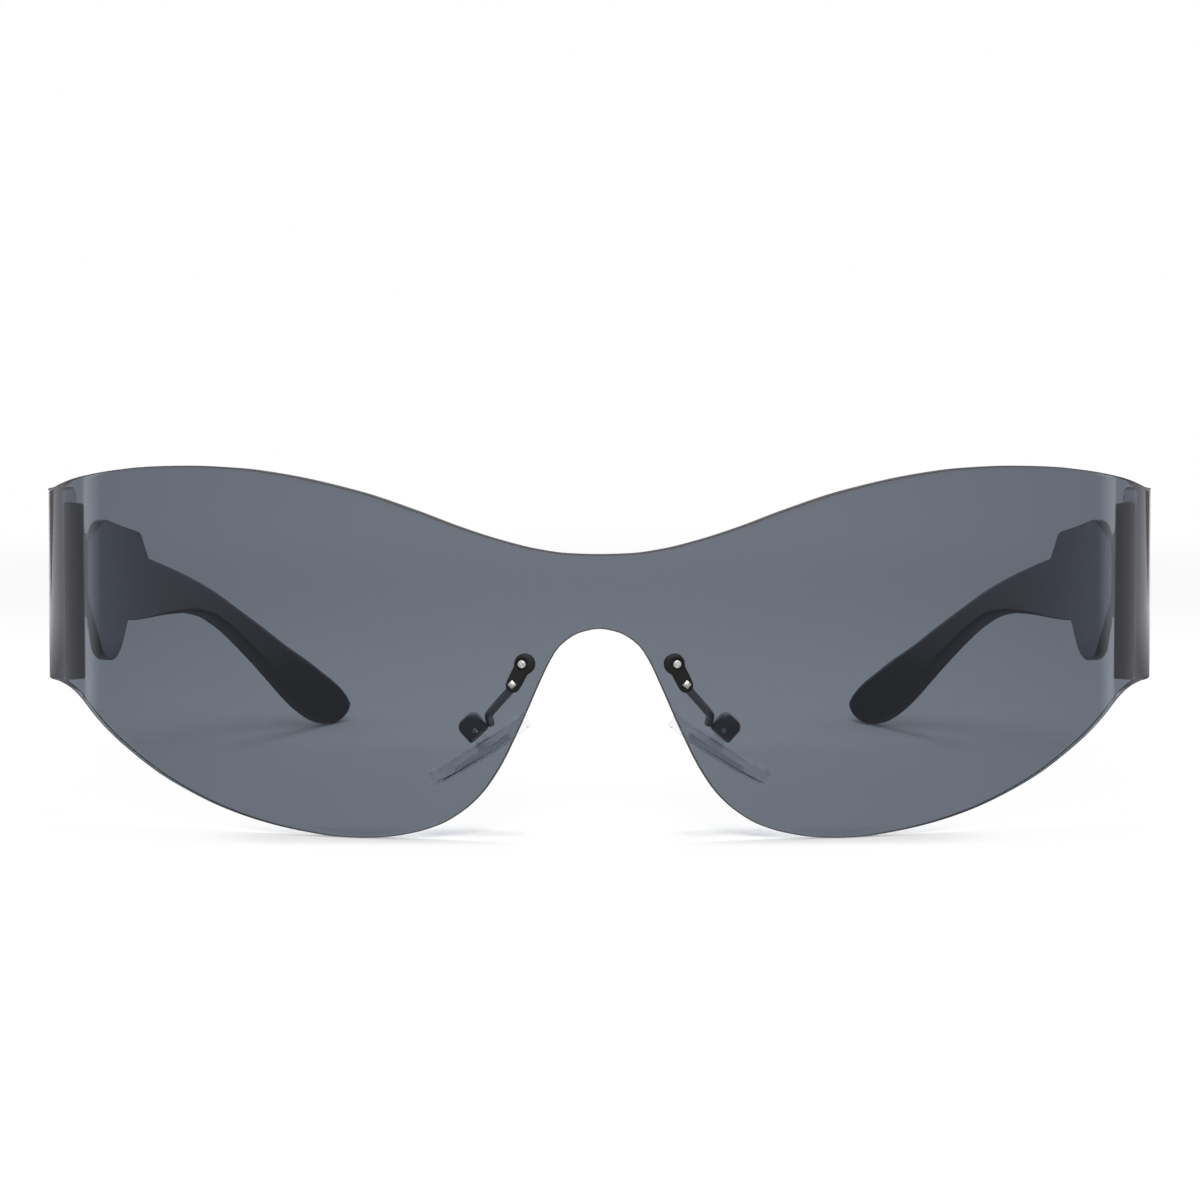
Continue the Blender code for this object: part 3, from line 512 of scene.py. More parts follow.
SMOKE = SmokeSheet("smoke_sheet", (1.0, 1.0, 1.0), 0.0, ior=1.58, transmission=1.0)
PLASTIC = MouldedPlastic("moulded_black", (0.010, 0.010, 0.012), 0.16)
MATT = MouldedPlastic("moulded_matt", (0.012, 0.012, 0.013), 0.62)
WASHER = MouldedPlastic("moulded_washer", (0.006, 0.006, 0.006), 0.42, ior=1.28, skin_depth=0.000004)
PLATING = PlatedMetal("black_plating", (0.25, 0.245, 0.245), 0.28, metallic=1.0)
STEEL = TurnedSteel("turned_steel", (0.82, 0.80, 0.77), 0.34, metallic=1.0)
SILICONE = ClearMoulding("pad_silicone", (0.97, 0.98, 0.985), 0.05, ior=1.36, transmission=0.97)
CORE = ClearMoulding("pad_core", (0.93, 0.95, 0.97), 0.06, ior=1.08, transmission=0.97)


def smooth_curve(points: Shares, at: np.ndarray) -> np.ndarray:
    """Reads a curve through points that never overshoots them, level at both ends.

    Args:
        points: its (place, value) points in order.
        at: the places to read.

    Returns:
        The values there.
    """
    x, y = np.array(points).T
    steps = np.diff(x)
    slopes = np.diff(y) / steps
    tangents = np.zeros(len(x))
    for i in range(1, len(x) - 1):
        if slopes[i - 1] * slopes[i] > 0:
            tangents[i] = 2 * slopes[i - 1] * slopes[i] / (slopes[i - 1] + slopes[i])
    piece = np.clip(np.searchsorted(x, at, side="right") - 1, 0, len(steps) - 1)
    width = steps[piece]
    t = np.clip((at - x[piece]) / width, 0, 1)
    bend = width * ((t - 2 * t**2 + t**3) * tangents[piece] + (t**3 - t**2) * tangents[piece + 1])
    return y[piece] + (3 * t**2 - 2 * t**3) * (y[piece + 1] - y[piece]) + bend


def stretch(start: Point, end: Point, shares: Shares) -> list[Point]:
    """Points from start to end, with those between given as shares of the two differences.

    Args:
        start: the first point.
        end: the last point.
        shares: the points between.

    Returns:
        All the points.
    """
    (x0, y0), (x1, y1) = start, end
    return [start] + [(x0 + u * (x1 - x0), y0 + v * (y1 - y0)) for u, v in shares] + [end]


def even_stations(length: float, outlines: Outlines, count: int, samples: int = 40) -> np.ndarray:
    """Places along a length, closer together where the outlines run steeply.

    Args:
        length: how far they go.
        outlines: gives the heights of the outlines at many places.
        count: how many steps there are.
        samples: how many measures of the outlines there are for each step.

    Returns:
        The places.
    """
    fine = np.linspace(0, length, samples * count + 1)
    travel = np.zeros(len(fine))
    for outline in outlines(fine):
        travel[1:] += np.cumsum(np.hypot(np.diff(fine), np.diff(outline)))
    return np.interp(np.linspace(0, travel[-1], count + 1), travel, fine)


def arc(centre: Point, radius: float, start: float, end: float, steps: int) -> list[Point]:
    """Points along an arc, both ends included, with angles in radians."""
    angles = np.linspace(start, end, steps + 1)
    return [(centre[0] + radius * math.cos(a), centre[1] + radius * math.sin(a)) for a in angles]


def mesh_from(bm: bmesh.types.BMesh, name: str) -> bpy.types.Mesh:
    """Makes a mesh of a bmesh, faces outwards.

    Args:
        bm: the bmesh, which is freed.
        name: the mesh's name.

    Returns:
        The mesh.
    """
    bmesh.ops.recalc_face_normals(bm, faces=bm.faces)
    mesh = bpy.data.meshes.new(name)
    bm.to_mesh(mesh)
    bm.free()
    return mesh


def plate(name: str, outline: Sequence[Point], thickness: float, facing: bool = False) -> bpy.types.Mesh:
    """Closed plate from a flat outline, about its own middle plane.

    Args:
        name: the mesh's name.
        outline: its corners in order.
        thickness: how thick it is.
        facing: whether it faces the front instead of lying level.

    Returns:
        The mesh.
    """
    bm = bmesh.new()
    face = bm.faces.new([bm.verts.new((u, v, -thickness / 2)) for u, v in outline])
    grown = bmesh.ops.extrude_face_region(bm, geom=[face])["geom"]
    raised = [g for g in grown if isinstance(g, bmesh.types.BMVert)]
    bmesh.ops.translate(bm, verts=raised, vec=(0, 0, thickness))
    if facing:
        bmesh.ops.rotate(bm, verts=bm.verts, matrix=Matrix.Rotation(math.pi / 2, 3, "X"))
    return mesh_from(bm, name)


def rod(name: str, radius: float, start: float, end: float, along_y: bool = False,
        sides: int = 48) -> bpy.types.Mesh:
    """Closed cylinder along Z, or along Y.

    Args:
        name: the mesh's name.
        radius: its radius.
        start: where it starts on the axis.
        end: where it ends on the axis.
        along_y: whether its axis is Y.
        sides: how many sides it has.

    Returns:
        The mesh.
    """
    bm = bmesh.new()
    bmesh.ops.create_cone(
        bm, cap_ends=True, segments=sides, radius1=radius, radius2=radius, depth=end - start)
    bmesh.ops.translate(bm, verts=bm.verts, vec=(0, 0, (start + end) / 2))
    if along_y:
        bmesh.ops.rotate(bm, verts=bm.verts, matrix=Matrix.Rotation(-math.pi / 2, 3, "X"))
    return mesh_from(bm, name)


def block(name: str, size: Point, centre: Point = (0, 0, 0)) -> bpy.types.Mesh:
    """Closed block.

    Args:
        name: the mesh's name.
        size: its three sides.
        centre: its middle.

    Returns:
        The mesh.
    """
    bm = bmesh.new()
    bmesh.ops.create_cube(bm, size=1)
    bmesh.ops.scale(bm, verts=bm.verts, vec=size)
    bmesh.ops.translate(bm, verts=bm.verts, vec=centre)
    return mesh_from(bm, name)


def loft(name: str, sections: Sequence[Sequence[Point]]) -> bpy.types.Mesh:
    """Closed loft.

    Args:
        name: the mesh's name.
        sections: the sections in order, with the same number of points.

    Returns:
        The mesh.
    """
    bm = bmesh.new()
    rings = [[bm.verts.new(point) for point in section] for section in sections]
    for ring, following in zip(rings, rings[1:]):
        for i in range(len(ring)):
            j = (i + 1) % len(ring)
            bm.faces.new((ring[i], ring[j], following[j], following[i]))
    bm.faces.new(rings[0])
    bm.faces.new(rings[-1])
    return mesh_from(bm, name)


def turned(name: str, profile: Sequence[Point], sides: int = 40) -> bpy.types.Mesh:
    """Turns a profile about Z, and keeps each point's distance from the axis as an attribute.

    Args:
        name: the mesh's name.
        profile: its (radius, height) points from the top of the axis to its bottom.
        sides: how many sides it has.

    Returns:
        The mesh.
    """
    bm = bmesh.new()
    verts = [bm.verts.new((radius, 0, height)) for radius, height in profile]
    edges = [bm.edges.new(pair) for pair in zip(verts, verts[1:])]
    bmesh.ops.spin(bm, geom=verts + edges, axis=(0, 0, 1), cent=(0, 0, 0), angle=2 * math.pi,
                   steps=sides, use_merge=True)
    bmesh.ops.remove_doubles(bm, verts=bm.verts, dist=WELD)
    return mesh_from(bm, name)


class Solid:
    """A mesh that is being shaped with modifiers."""

    def __init__(self, name: str, mesh: bpy.types.Mesh) -> None:
        """Starts from a mesh.

        Args:
            name: the name of its object.
            mesh: the mesh, in its own coordinates.
        """
        self.obj = bpy.data.objects.new(name, mesh)
        self.tools: list[bpy.types.Object] = []
        bpy.context.scene.collection.objects.link(self.obj)

    def combine(self, mesh: bpy.types.Mesh, operation: str) -> Solid:
        """Cuts a mesh out, or joins it on.

        Args:
            mesh: the other mesh, in the same coordinates.
            operation: DIFFERENCE or UNION.

        Returns:
            The solid itself.
        """
        tool = bpy.data.objects.new(mesh.name, mesh)
        bpy.context.scene.collection.objects.link(tool)
        self.tools.append(tool)
        modifier = self.obj.modifiers.new(mesh.name, "BOOLEAN")
        modifier.operation = operation
        modifier.solver = "EXACT"
        modifier.object = tool
        return self

    def cut(self, mesh: bpy.types.Mesh) -> Solid:
        """Cuts a mesh out."""
        return self.combine(mesh, "DIFFERENCE")

    def join(self, mesh: bpy.types.Mesh) -> Solid:
        """Joins a mesh on."""
        return self.combine(mesh, "UNION")

    def bevel(self, width: float, segments: int = 3, angle: float = 40) -> Solid:
        """Rounds its sharp edges.

        Args:
            width: how wide the rounding is.
            segments: how many faces it has.
            angle: the least angle, in degrees, that counts as sharp.

        Returns:
            The solid itself.
        """
        modifier = self.obj.modifiers.new("rounding", "BEVEL")
        modifier.width = width
        modifier.segments = segments
        modifier.limit_method = "ANGLE"
        modifier.angle_limit = math.radians(angle)
        return self

    def subdivide(self, levels: int) -> Solid:
        """Subdivides it as a smooth surface.

        Args:
            levels: how many times.

        Returns:
            The solid itself.
        """
        modifier = self.obj.modifiers.new("smooth", "SUBSURF")
        modifier.levels = levels
        modifier.render_levels = levels
        return self

    def run(self, tree: bpy.types.NodeTree, sizes: dict[str, object]) -> Solid:
        """Runs a Geometry Nodes tree on it.

        Args:
            tree: the tree.
            sizes: its named inputs.

        Returns:
            The solid itself.
        """
        modifier = self.obj.modifiers.new(tree.name, "NODES")
        modifier.node_group = tree
        sockets = {item.name: item.identifier for item in tree.interface.items_tree if item.in_out == "INPUT"}
        for name, size in sizes.items():
            modifier[sockets[name]] = size
        return self

    def finished(self, place: Matrix | None = None, sharp: float = 32) -> bpy.types.Mesh:
        """Turns it into a plain mesh and removes what it was made with.

        Args:
            place: where it goes in the model's frame.
            sharp: the least angle, in degrees, at which an edge stays sharp.

        Returns:
            The mesh.
        """
        bpy.context.view_layer.update()
        evaluated = self.obj.evaluated_get(bpy.context.evaluated_depsgraph_get())
        mesh = bpy.data.meshes.new_from_object(evaluated)
        mesh.name = self.obj.name
        for obj in [self.obj, *self.tools]:
            bpy.data.objects.remove(obj)
        if place is not None:
            mesh.transform(place)
        mesh.shade_smooth()
        mesh.set_sharp_from_angle(angle=math.radians(sharp))
        return mesh


def mirrored(mesh: bpy.types.Mesh) -> bpy.types.Mesh:
    """Mirror image of a mesh on the other side of the nose, faces still outwards.

    Args:
        mesh: the mesh, in the model's frame.

    Returns:
        Its twin.
    """
    twin = mesh.copy()
    twin.transform(Matrix.Diagonal((-1, 1, 1, 1)))
    twin.flip_normals()
    return twin


def show(name: str, mesh: bpy.types.Mesh, finish: Finish, body: str, nodes: Sequence[str]) -> None:
    """Adds a finished piece to the model.

    Args:
        name: the piece's name.
        mesh: its mesh, in the model's frame.
        finish: its finish.
        body: the body that it moves with.
        nodes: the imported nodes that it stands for.
    """
    mesh.materials.clear()
    mesh.materials.append(finish.material())
    obj = bpy.data.objects.new(name, mesh)
    bpy.context.scene.collection.objects.link(obj)
    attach(obj, body)
    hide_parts(*nodes)
    LOG.info("%s: %d faces on body %s", name, len(mesh.polygons), body)


def show_pair(kind: str, mesh: bpy.types.Mesh, finish: Finish, body: str = "front") -> None:
    """Adds a left piece and its mirrored right twin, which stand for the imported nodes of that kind.

    Args:
        kind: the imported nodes' name before the side.
        mesh: the left piece's mesh.
        finish: the finish of both.
        body: the body, or the start of its name where each side has its own.
    """
    for side in Side:
        shape = mesh if side is Side.LEFT else mirrored(mesh)
        where = body if body == "front" else f"{body}_{side.label}"
        show(f"{side.label}_{kind}", shape, finish, where, [f"{kind}_{side.label}"])


def new_tree(name: str, sizes: dict[str, str]) -> tuple[Graph, bpy.types.Node]:
    """Starts a Geometry Nodes tree.

    Args:
        name: its name.
        sizes: its named inputs after the geometry, each with its socket's type.

    Returns:
        The graph and its input node.
    """
    tree = bpy.data.node_groups.new(name, "GeometryNodeTree")
    tree.interface.new_socket("Geometry", in_out="INPUT", socket_type="NodeSocketGeometry")
    for label, kind in sizes.items():
        tree.interface.new_socket(label, in_out="INPUT", socket_type="NodeSocket" + kind)
    tree.interface.new_socket("Geometry", in_out="OUTPUT", socket_type="NodeSocketGeometry")
    graph = Graph(tree)
    return graph, graph.node("NodeGroupInput")


def end_tree(graph: Graph, given: bpy.types.Node, shape: bpy.types.NodeSocket) -> bpy.types.NodeTree:
    """Ends a Geometry Nodes tree in Realize Instances and Set Material.

    Args:
        graph: the tree's graph.
        given: its input node, which has a Material input.
        shape: the geometry to hand on.

    Returns:
        The tree.
    """
    real = graph.node("GeometryNodeRealizeInstances", None, {"Geometry": shape})
    dressed = graph.node("GeometryNodeSetMaterial", None, {
        "Geometry": real.outputs[0], "Material": given.outputs["Material"]})
    graph.node("NodeGroupOutput", None, {0: dressed.outputs[0]})
    return graph.tree


@dataclass(frozen=True)
class Plan:
    """The lens seen from above, and where the model's frame lies on it."""

    half_width: float = 0.0747
    front_radius: float = 0.1250
    corner_radius: float = 0.0140
    tab_length: float = 0.0079
    thickness: float = 0.0018
    knuckle_radius: float = 0.0010
    hinge_setback: float = 0.0016
    hinge_bottom: float = 0.0261
    outer_knuckle: float = 0.0032
    centre_knuckle: float = 0.0045
    temple_length: float = 0.1184
    mount_run: float = 0.0098
    mount_height: float = 0.0228
    mount_head_front: float = -0.0013

    @property
    def front_angle(self) -> float:
        """Turn at which the front arc meets the corner arc."""
        return math.asin((self.half_width - self.corner_radius) / (self.front_radius - self.corner_radius))

    @property
    def front_run(self) -> float:
        """Run of the front arc."""
        return self.front_radius * self.front_angle

    @property
    def corner_run(self) -> float:
        """Run to the end of the corner arc."""
        return self.front_run + self.corner_radius * (math.pi / 2 - self.front_angle)

    @property
    def lens_run(self) -> float:
        """Run to the end of the tab."""
        return self.corner_run + self.tab_length

    @property
    def tab_depth(self) -> float:
        """Depth at which the straight tab starts."""
        return self.front_radius - (self.front_radius - self.corner_radius) * math.cos(self.front_angle)

    @property
    def hinge_x(self) -> float:
        """Distance of the hinge axis from the middle."""
        return self.half_width - self.thickness - GAP - self.knuckle_radius

    @property
    def hinge_depth(self) -> float:
        """Depth of the hinge axis."""
        return self.tab_depth + self.tab_length - self.hinge_setback

    @property
    def hinge_top(self) -> float:
        """Top of the uppermost knuckle."""
        return self.hinge_bottom + 2 * self.outer_knuckle + self.centre_knuckle + 2 * GAP

    @property
    def centre_bottom(self) -> float:
        """Bottom of the temple's knuckle."""
        return self.hinge_bottom + self.outer_knuckle + GAP

    @property
    def origin_depth(self) -> float:
        """Depth of the model's origin."""
        sagitta = self.front_radius * (1 - math.cos(self.mount_run / self.front_radius))
        return (sagitta + self.mount_head_front + self.hinge_depth + self.temple_length) / 2

    def at(self, x: float, depth: float, height: float) -> Vector:
        """A place given by its depth, in the model's frame."""
        return Vector((x, depth - self.origin_depth, height))

    def hinge(self) -> Matrix:
        """The left hinge axis, at the ground."""
        return Matrix.Translation(self.at(self.hinge_x, self.hinge_depth, 0))

    def mount(self) -> Matrix:
        """Finds the left nose pad mount, on the outer face of the lens at its screw.

        Returns:
            The mount's frame.
        """
        turn = self.mount_run / self.front_radius
        depth = self.front_radius * (1 - math.cos(turn))
        place = self.at(self.front_radius * math.sin(turn), depth, self.mount_height)
        return Matrix.Translation(place) @ Matrix.Rotation(turn, 4, "Z")


PLAN = Plan()


@dataclass
class ShieldLens:
    """The one-piece lens: a flat blank with a rounded rim, bent by a Geometry Nodes tree."""

    plan: Plan = PLAN
    bridge_top: float = 0.0367
    crest_top: float = 0.0476
    crest_run: float = 0.0550
    tab_top: float = 0.04405
    arch_top: float = 0.02724
    lobe_run: float = 0.0320
    knee_run: float = 0.0790
    tab_bottom: float = 0.01845
    tab_rounding: float = 0.0040
    edge: float = 0.00016
    edge_steps: int = 4
    support: float = 0.00012
    columns: int = 120
    rows: int = 34
    hole: float = 0.00062
    pin_hole: float = 0.00077
    pin: tuple[float, float] = (0.00126, -0.00261)
    sharp_angle: float = 50
    bridge_to_crest: Shares = (
        (0.073, 0.011), (0.145, 0.06), (0.236, 0.171), (0.327, 0.314), (0.436, 0.511), (0.573, 0.724),
        (0.764, 0.917), (0.88, 0.98),
    )
    crest_to_tab: Shares = (
        (0.16, 0.028), (0.256, 0.075), (0.353, 0.163), (0.449, 0.27), (0.571, 0.456), (0.641, 0.592),
        (0.712, 0.752), (0.77, 0.873), (0.82, 0.965), (0.9, 0.995),
    )
    arch_to_lobe: Shares = (
        (0.078, 0.018), (0.156, 0.079), (0.2, 0.156), (0.241, 0.257), (0.319, 0.463), (0.4, 0.654),
        (0.475, 0.781), (0.556, 0.868), (0.64, 0.926), (0.75, 0.968), (0.875, 0.993),
    )
    lobe_to_knee: Shares = (
        (0.064, 0.006), (0.128, 0.024), (0.213, 0.057), (0.298, 0.103), (0.383, 0.163), (0.46, 0.232),
        (0.596, 0.384), (0.723, 0.576), (0.787, 0.69), (0.83, 0.783), (0.872, 0.885), (0.894, 0.926),
        (0.915, 0.955), (0.947, 0.982),
    )

    def edges(self, runs: np.ndarray) -> tuple[np.ndarray, np.ndarray]:
        """Heights of the lower and upper edges.

        Args:
            runs: distances along the lens from its middle.

        Returns:
            The lower and the upper heights.
        """
        crest = (self.crest_run, self.crest_top)
        lobe = (self.lobe_run, 0.0)
        upper = stretch((0.0, self.bridge_top), crest, self.bridge_to_crest)
        upper += stretch(crest, (self.plan.corner_run, self.tab_top), self.crest_to_tab)[1:]
        lower = stretch((0.0, self.arch_top), lobe, self.arch_to_lobe)
        lower += stretch(lobe, (self.knee_run, self.tab_bottom), self.lobe_to_knee)[1:]
        past = np.clip(runs - (self.plan.lens_run - self.tab_rounding), 0, self.tab_rounding)
        rounding = self.tab_rounding - np.sqrt(self.tab_rounding**2 - past**2)
        return smooth_curve(lower, runs) + rounding, smooth_curve(upper, runs) - rounding

    def outline(self) -> tuple[np.ndarray, np.ndarray, np.ndarray, np.ndarray]:
        """Edge points of the flat blank and their outward directions.

        Returns:
            Lower points, upper points, lower directions and upper directions, from right to left.
        """
        half = even_stations(self.plan.lens_run, self.edges, self.columns)
        lower, upper = self.edges(half)
        made = []
        for heights, way in ((lower, -1), (upper, 1)):
            points = np.stack((half, heights), 1)
            along = np.gradient(points, axis=0)
            along[0] = (1, 0)
            along[-1] = (0, -way)
            along /= np.hypot(*along.T)[:, None]
            out = np.stack((-along[:, 1], along[:, 0]), 1) * way
            mirror = np.array((-1, 1))
            made.append(np.concatenate((points[:0:-1] * mirror, points)))
            made.append(np.concatenate((out[:0:-1] * mirror, out)))
        return made[0], made[2], made[1], made[3]

    def blank(self) -> bpy.types.Mesh:
        """Makes the flat blank: its run along X, its thickness along Y and its height along Z.

        Returns:
            The mesh.
        """
        lower, upper, lower_out, upper_out = self.outline()
        columns = len(lower)
        near = self.support / (self.crest_top - self.bridge_top)
        shares = np.concatenate(([0, near], np.linspace(0, 1, self.rows)[1:-1], [1 - near, 1]))
        rows = len(shares)
        low = lower - lower_out * self.edge
        high = upper - upper_out * self.edge
        grid = low[:, None] + (high - low)[:, None] * shares[None, :, None]
        loop = [(i, 0) for i in range(columns - 1)] + [(columns - 1, j) for j in range(rows - 1)]
        loop += [(i, rows - 1) for i in range(columns - 1, 0, -1)] + [(0, j) for j in range(rows - 1, 0, -1)]
        bm = bmesh.new()
        rim = bm.faces.layers.int.new(RIM)
        faces = [[[bm.verts.new((*point, 0)) for point in column] for column in grid] for _ in range(2)]
        thickness = self.plan.thickness
        for side, depth in zip(faces, (0.0, thickness)):
            for column in side:
                for vert in column:
                    vert.co = (vert.co.x, depth, vert.co.y)
            for left, right in zip(side, side[1:]):
                for j in range(rows - 1):
                    bm.faces.new((left[j], right[j], right[j + 1], left[j + 1]))
        rings = [[faces[0][i][j] for i, j in loop]]
        turns = np.linspace(0, math.pi / 2, self.edge_steps + 1)[1:]
        offsets = [(math.sin(t), self.edge * (1 - math.cos(t))) for t in turns]
        offsets += [(out, thickness - depth) for out, depth in reversed(offsets)]
        for out, depth in offsets:
            ring = []
            for i, j in loop:
                way = self.way(i, j, columns, rows, lower_out, upper_out)
                run, height = grid[i, j] + way * self.edge * out
                ring.append(bm.verts.new((run, depth, height)))
            rings.append(ring)
        rings.append([faces[1][i][j] for i, j in loop])
        for ring, following in zip(rings, rings[1:]):
            for k in range(len(ring)):
                m = (k + 1) % len(ring)
                bm.faces.new((ring[k], ring[m], following[m], following[k]))[rim] = 1
        return mesh_from(bm, "lens_blank")

    @staticmethod
    def way(i: int, j: int, columns: int, rows: int, lower: np.ndarray, upper: np.ndarray) -> np.ndarray:
        """Outward direction at a point on the blank's border.

        Args:
            i: the point's column.
            j: the point's row.
            columns: how many columns there are.
            rows: how many rows there are.
            lower: the lower edge's outward directions.
            upper: the upper edge's outward directions.

        Returns:
            The direction, of length 1.
        """
        if i in (0, columns - 1):
            return np.array((-1.0 if i == 0 else 1.0, 0.0))
        return lower[i] if j == 0 else upper[i]

    def bend(self) -> bpy.types.NodeTree:
        """Builds the tree that bends the blank: front arc, corner arc and straight tab on each side.

        Returns:
            The tree.
        """
        sizes = {"Front Radius": "Float", "Front Run": "Float", "Corner Radius": "Float",
                 "Corner Run": "Float", "Origin Depth": "Float", "Material": "Material"}
        graph, given = new_tree("bend_the_blank", sizes)
        front, front_run, corner, corner_run, origin = graph.named(given, list(sizes)[:-1])
        run, inset, height = graph.split(graph.node("GeometryNodeInputPosition").outputs[0])
        distance = graph.math("ABSOLUTE", run)
        first = graph.math("MINIMUM", distance, front_run) / front
        after = graph.math("MAXIMUM", distance - front_run, 0.0)
        turn = first + graph.math("MINIMUM", after, corner_run - front_run) / corner
        rest = graph.math("MAXIMUM", distance - corner_run, 0.0)
        sine, cosine = graph.math("SINE", turn), graph.math("COSINE", turn)
        first_sine, first_cosine = graph.math("SINE", first), graph.math("COSINE", first)
        x = front * first_sine + corner * (sine - first_sine) + rest * cosine - inset * sine
        depth = front * (1 - first_cosine) + corner * (first_cosine - cosine) + rest * sine + inset * cosine
        signed = x * graph.math("SIGN", run)
        bent = graph.node("ShaderNodeCombineXYZ", None, {0: signed, 1: depth - origin, 2: height})
        moved = graph.node("GeometryNodeSetPosition", None, {
            "Geometry": given.outputs["Geometry"], "Position": bent.outputs[0]})
        return end_tree(graph, given, moved.outputs[0])

    def build(self) -> None:
        """Makes the lens and shows it."""
        plan = self.plan
        solid = Solid("shield", self.blank())
        for side in Side:
            for radius, (x, z) in ((self.hole, (0.0, 0.0)), (self.pin_hole, self.pin)):
                hole = rod("hole", radius, -OVERRUN, plan.thickness + OVERRUN, along_y=True)
                place = (side.value * (plan.mount_run + x), 0, plan.mount_height + z)
                hole.transform(Matrix.Translation(place))
                solid.cut(hole)
        solid.run(self.bend(), {
            "Front Radius": plan.front_radius, "Front Run": plan.front_run,
            "Corner Radius": plan.corner_radius, "Corner Run": plan.corner_run,
            "Origin Depth": plan.origin_depth, "Material": SMOKE.material()})
        shape = solid.finished(sharp=self.sharp_angle)
        show("shield", shape, SMOKE, "front", ["shield_lens"])


@dataclass
class Knuckles:
    """The hinge knuckles: two on the end piece and one on the temple."""

    plan: Plan = PLAN
    root: float = 0.0006
    root_width: float = 0.0007
    bore: float = 0.0006
    flank: float = math.radians(10)
    round_steps: int = 24

    def one(self, name: str, direction: int, bottom: float, height: float) -> bpy.types.Mesh:
        """One knuckle about the hinge axis.

        Args:
            name: the mesh's name.
            direction: -1 where its root runs forwards and 1 where it runs backwards.
            bottom: its lowest height.
            height: how tall it is.

        Returns:
            The mesh, with the hinge axis at the origin.
        """
        depth = -(self.plan.knuckle_radius + GAP + self.root)
        outline = arc((0, 0), self.plan.knuckle_radius, -self.flank, math.pi + self.flank, self.round_steps)
        outline += [(-self.root_width, depth), (self.root_width, depth)]
        mesh = plate(name, [(u, -direction * v) for u, v in outline], height)
        mesh.transform(Matrix.Translation((0, 0, bottom + height / 2)))
        return mesh

    def hole(self, name: str) -> bpy.types.Mesh:
        """Bore for the hinge screw."""
        return rod(name, self.bore, self.plan.hinge_bottom - OVERRUN, self.plan.hinge_top + OVERRUN)


@dataclass
class EndPiece:
    """The black bar inside each end of the lens, with the two outer knuckles."""

    plan: Plan = PLAN
    knuckles: Knuckles = field(default_factory=Knuckles)
    length: float = 0.0088
    thickness: float = 0.00175
    top: float = 0.0420
    bottom: float = 0.0180
    drop: float = math.radians(4)
    edge: float = 0.0004
    edge_steps: int = 4
    corner_steps: int = 14

    def shape(self) -> bpy.types.Mesh:
        """Makes the left end piece.

        Returns:
            Its mesh in the model's frame.
        """
        plan = self.plan
        corner_x = plan.half_width - plan.corner_radius
        radius = plan.corner_radius - plan.thickness - GAP
        back = plan.hinge_depth - (plan.knuckle_radius + GAP)
        front = back - self.length
        inner_x = plan.half_width - plan.thickness - GAP - self.thickness
        start = math.acos((plan.tab_depth - front) / radius)
        outline = arc((corner_x, plan.tab_depth), radius, start - math.pi / 2, 0, self.corner_steps)
        outline += [(corner_x + radius, back), (inner_x, back), (inner_x, front)]
        centred = [(x - plan.hinge_x, depth - plan.hinge_depth) for x, depth in outline]
        mesh = plate("bar", centred, self.top - self.bottom)
        middle = back - plan.hinge_depth - self.length / 2
        for vert in mesh.vertices:
            vert.co.z += (self.top + self.bottom) / 2 - (vert.co.y - middle) * math.tan(self.drop)
        solid = Solid("end_piece", mesh).bevel(self.edge, self.edge_steps)
        top_bottom = plan.hinge_top - plan.outer_knuckle
        solid.join(self.knuckles.one("lower_knuckle", -1, plan.hinge_bottom, plan.outer_knuckle))
        solid.join(self.knuckles.one("upper_knuckle", -1, top_bottom, plan.outer_knuckle))
        return solid.cut(self.knuckles.hole("end_bore")).finished(plan.hinge())

    def build(self) -> None:
        """Makes both end pieces and shows them."""
        show_pair("endpiece", self.shape(), MATT)


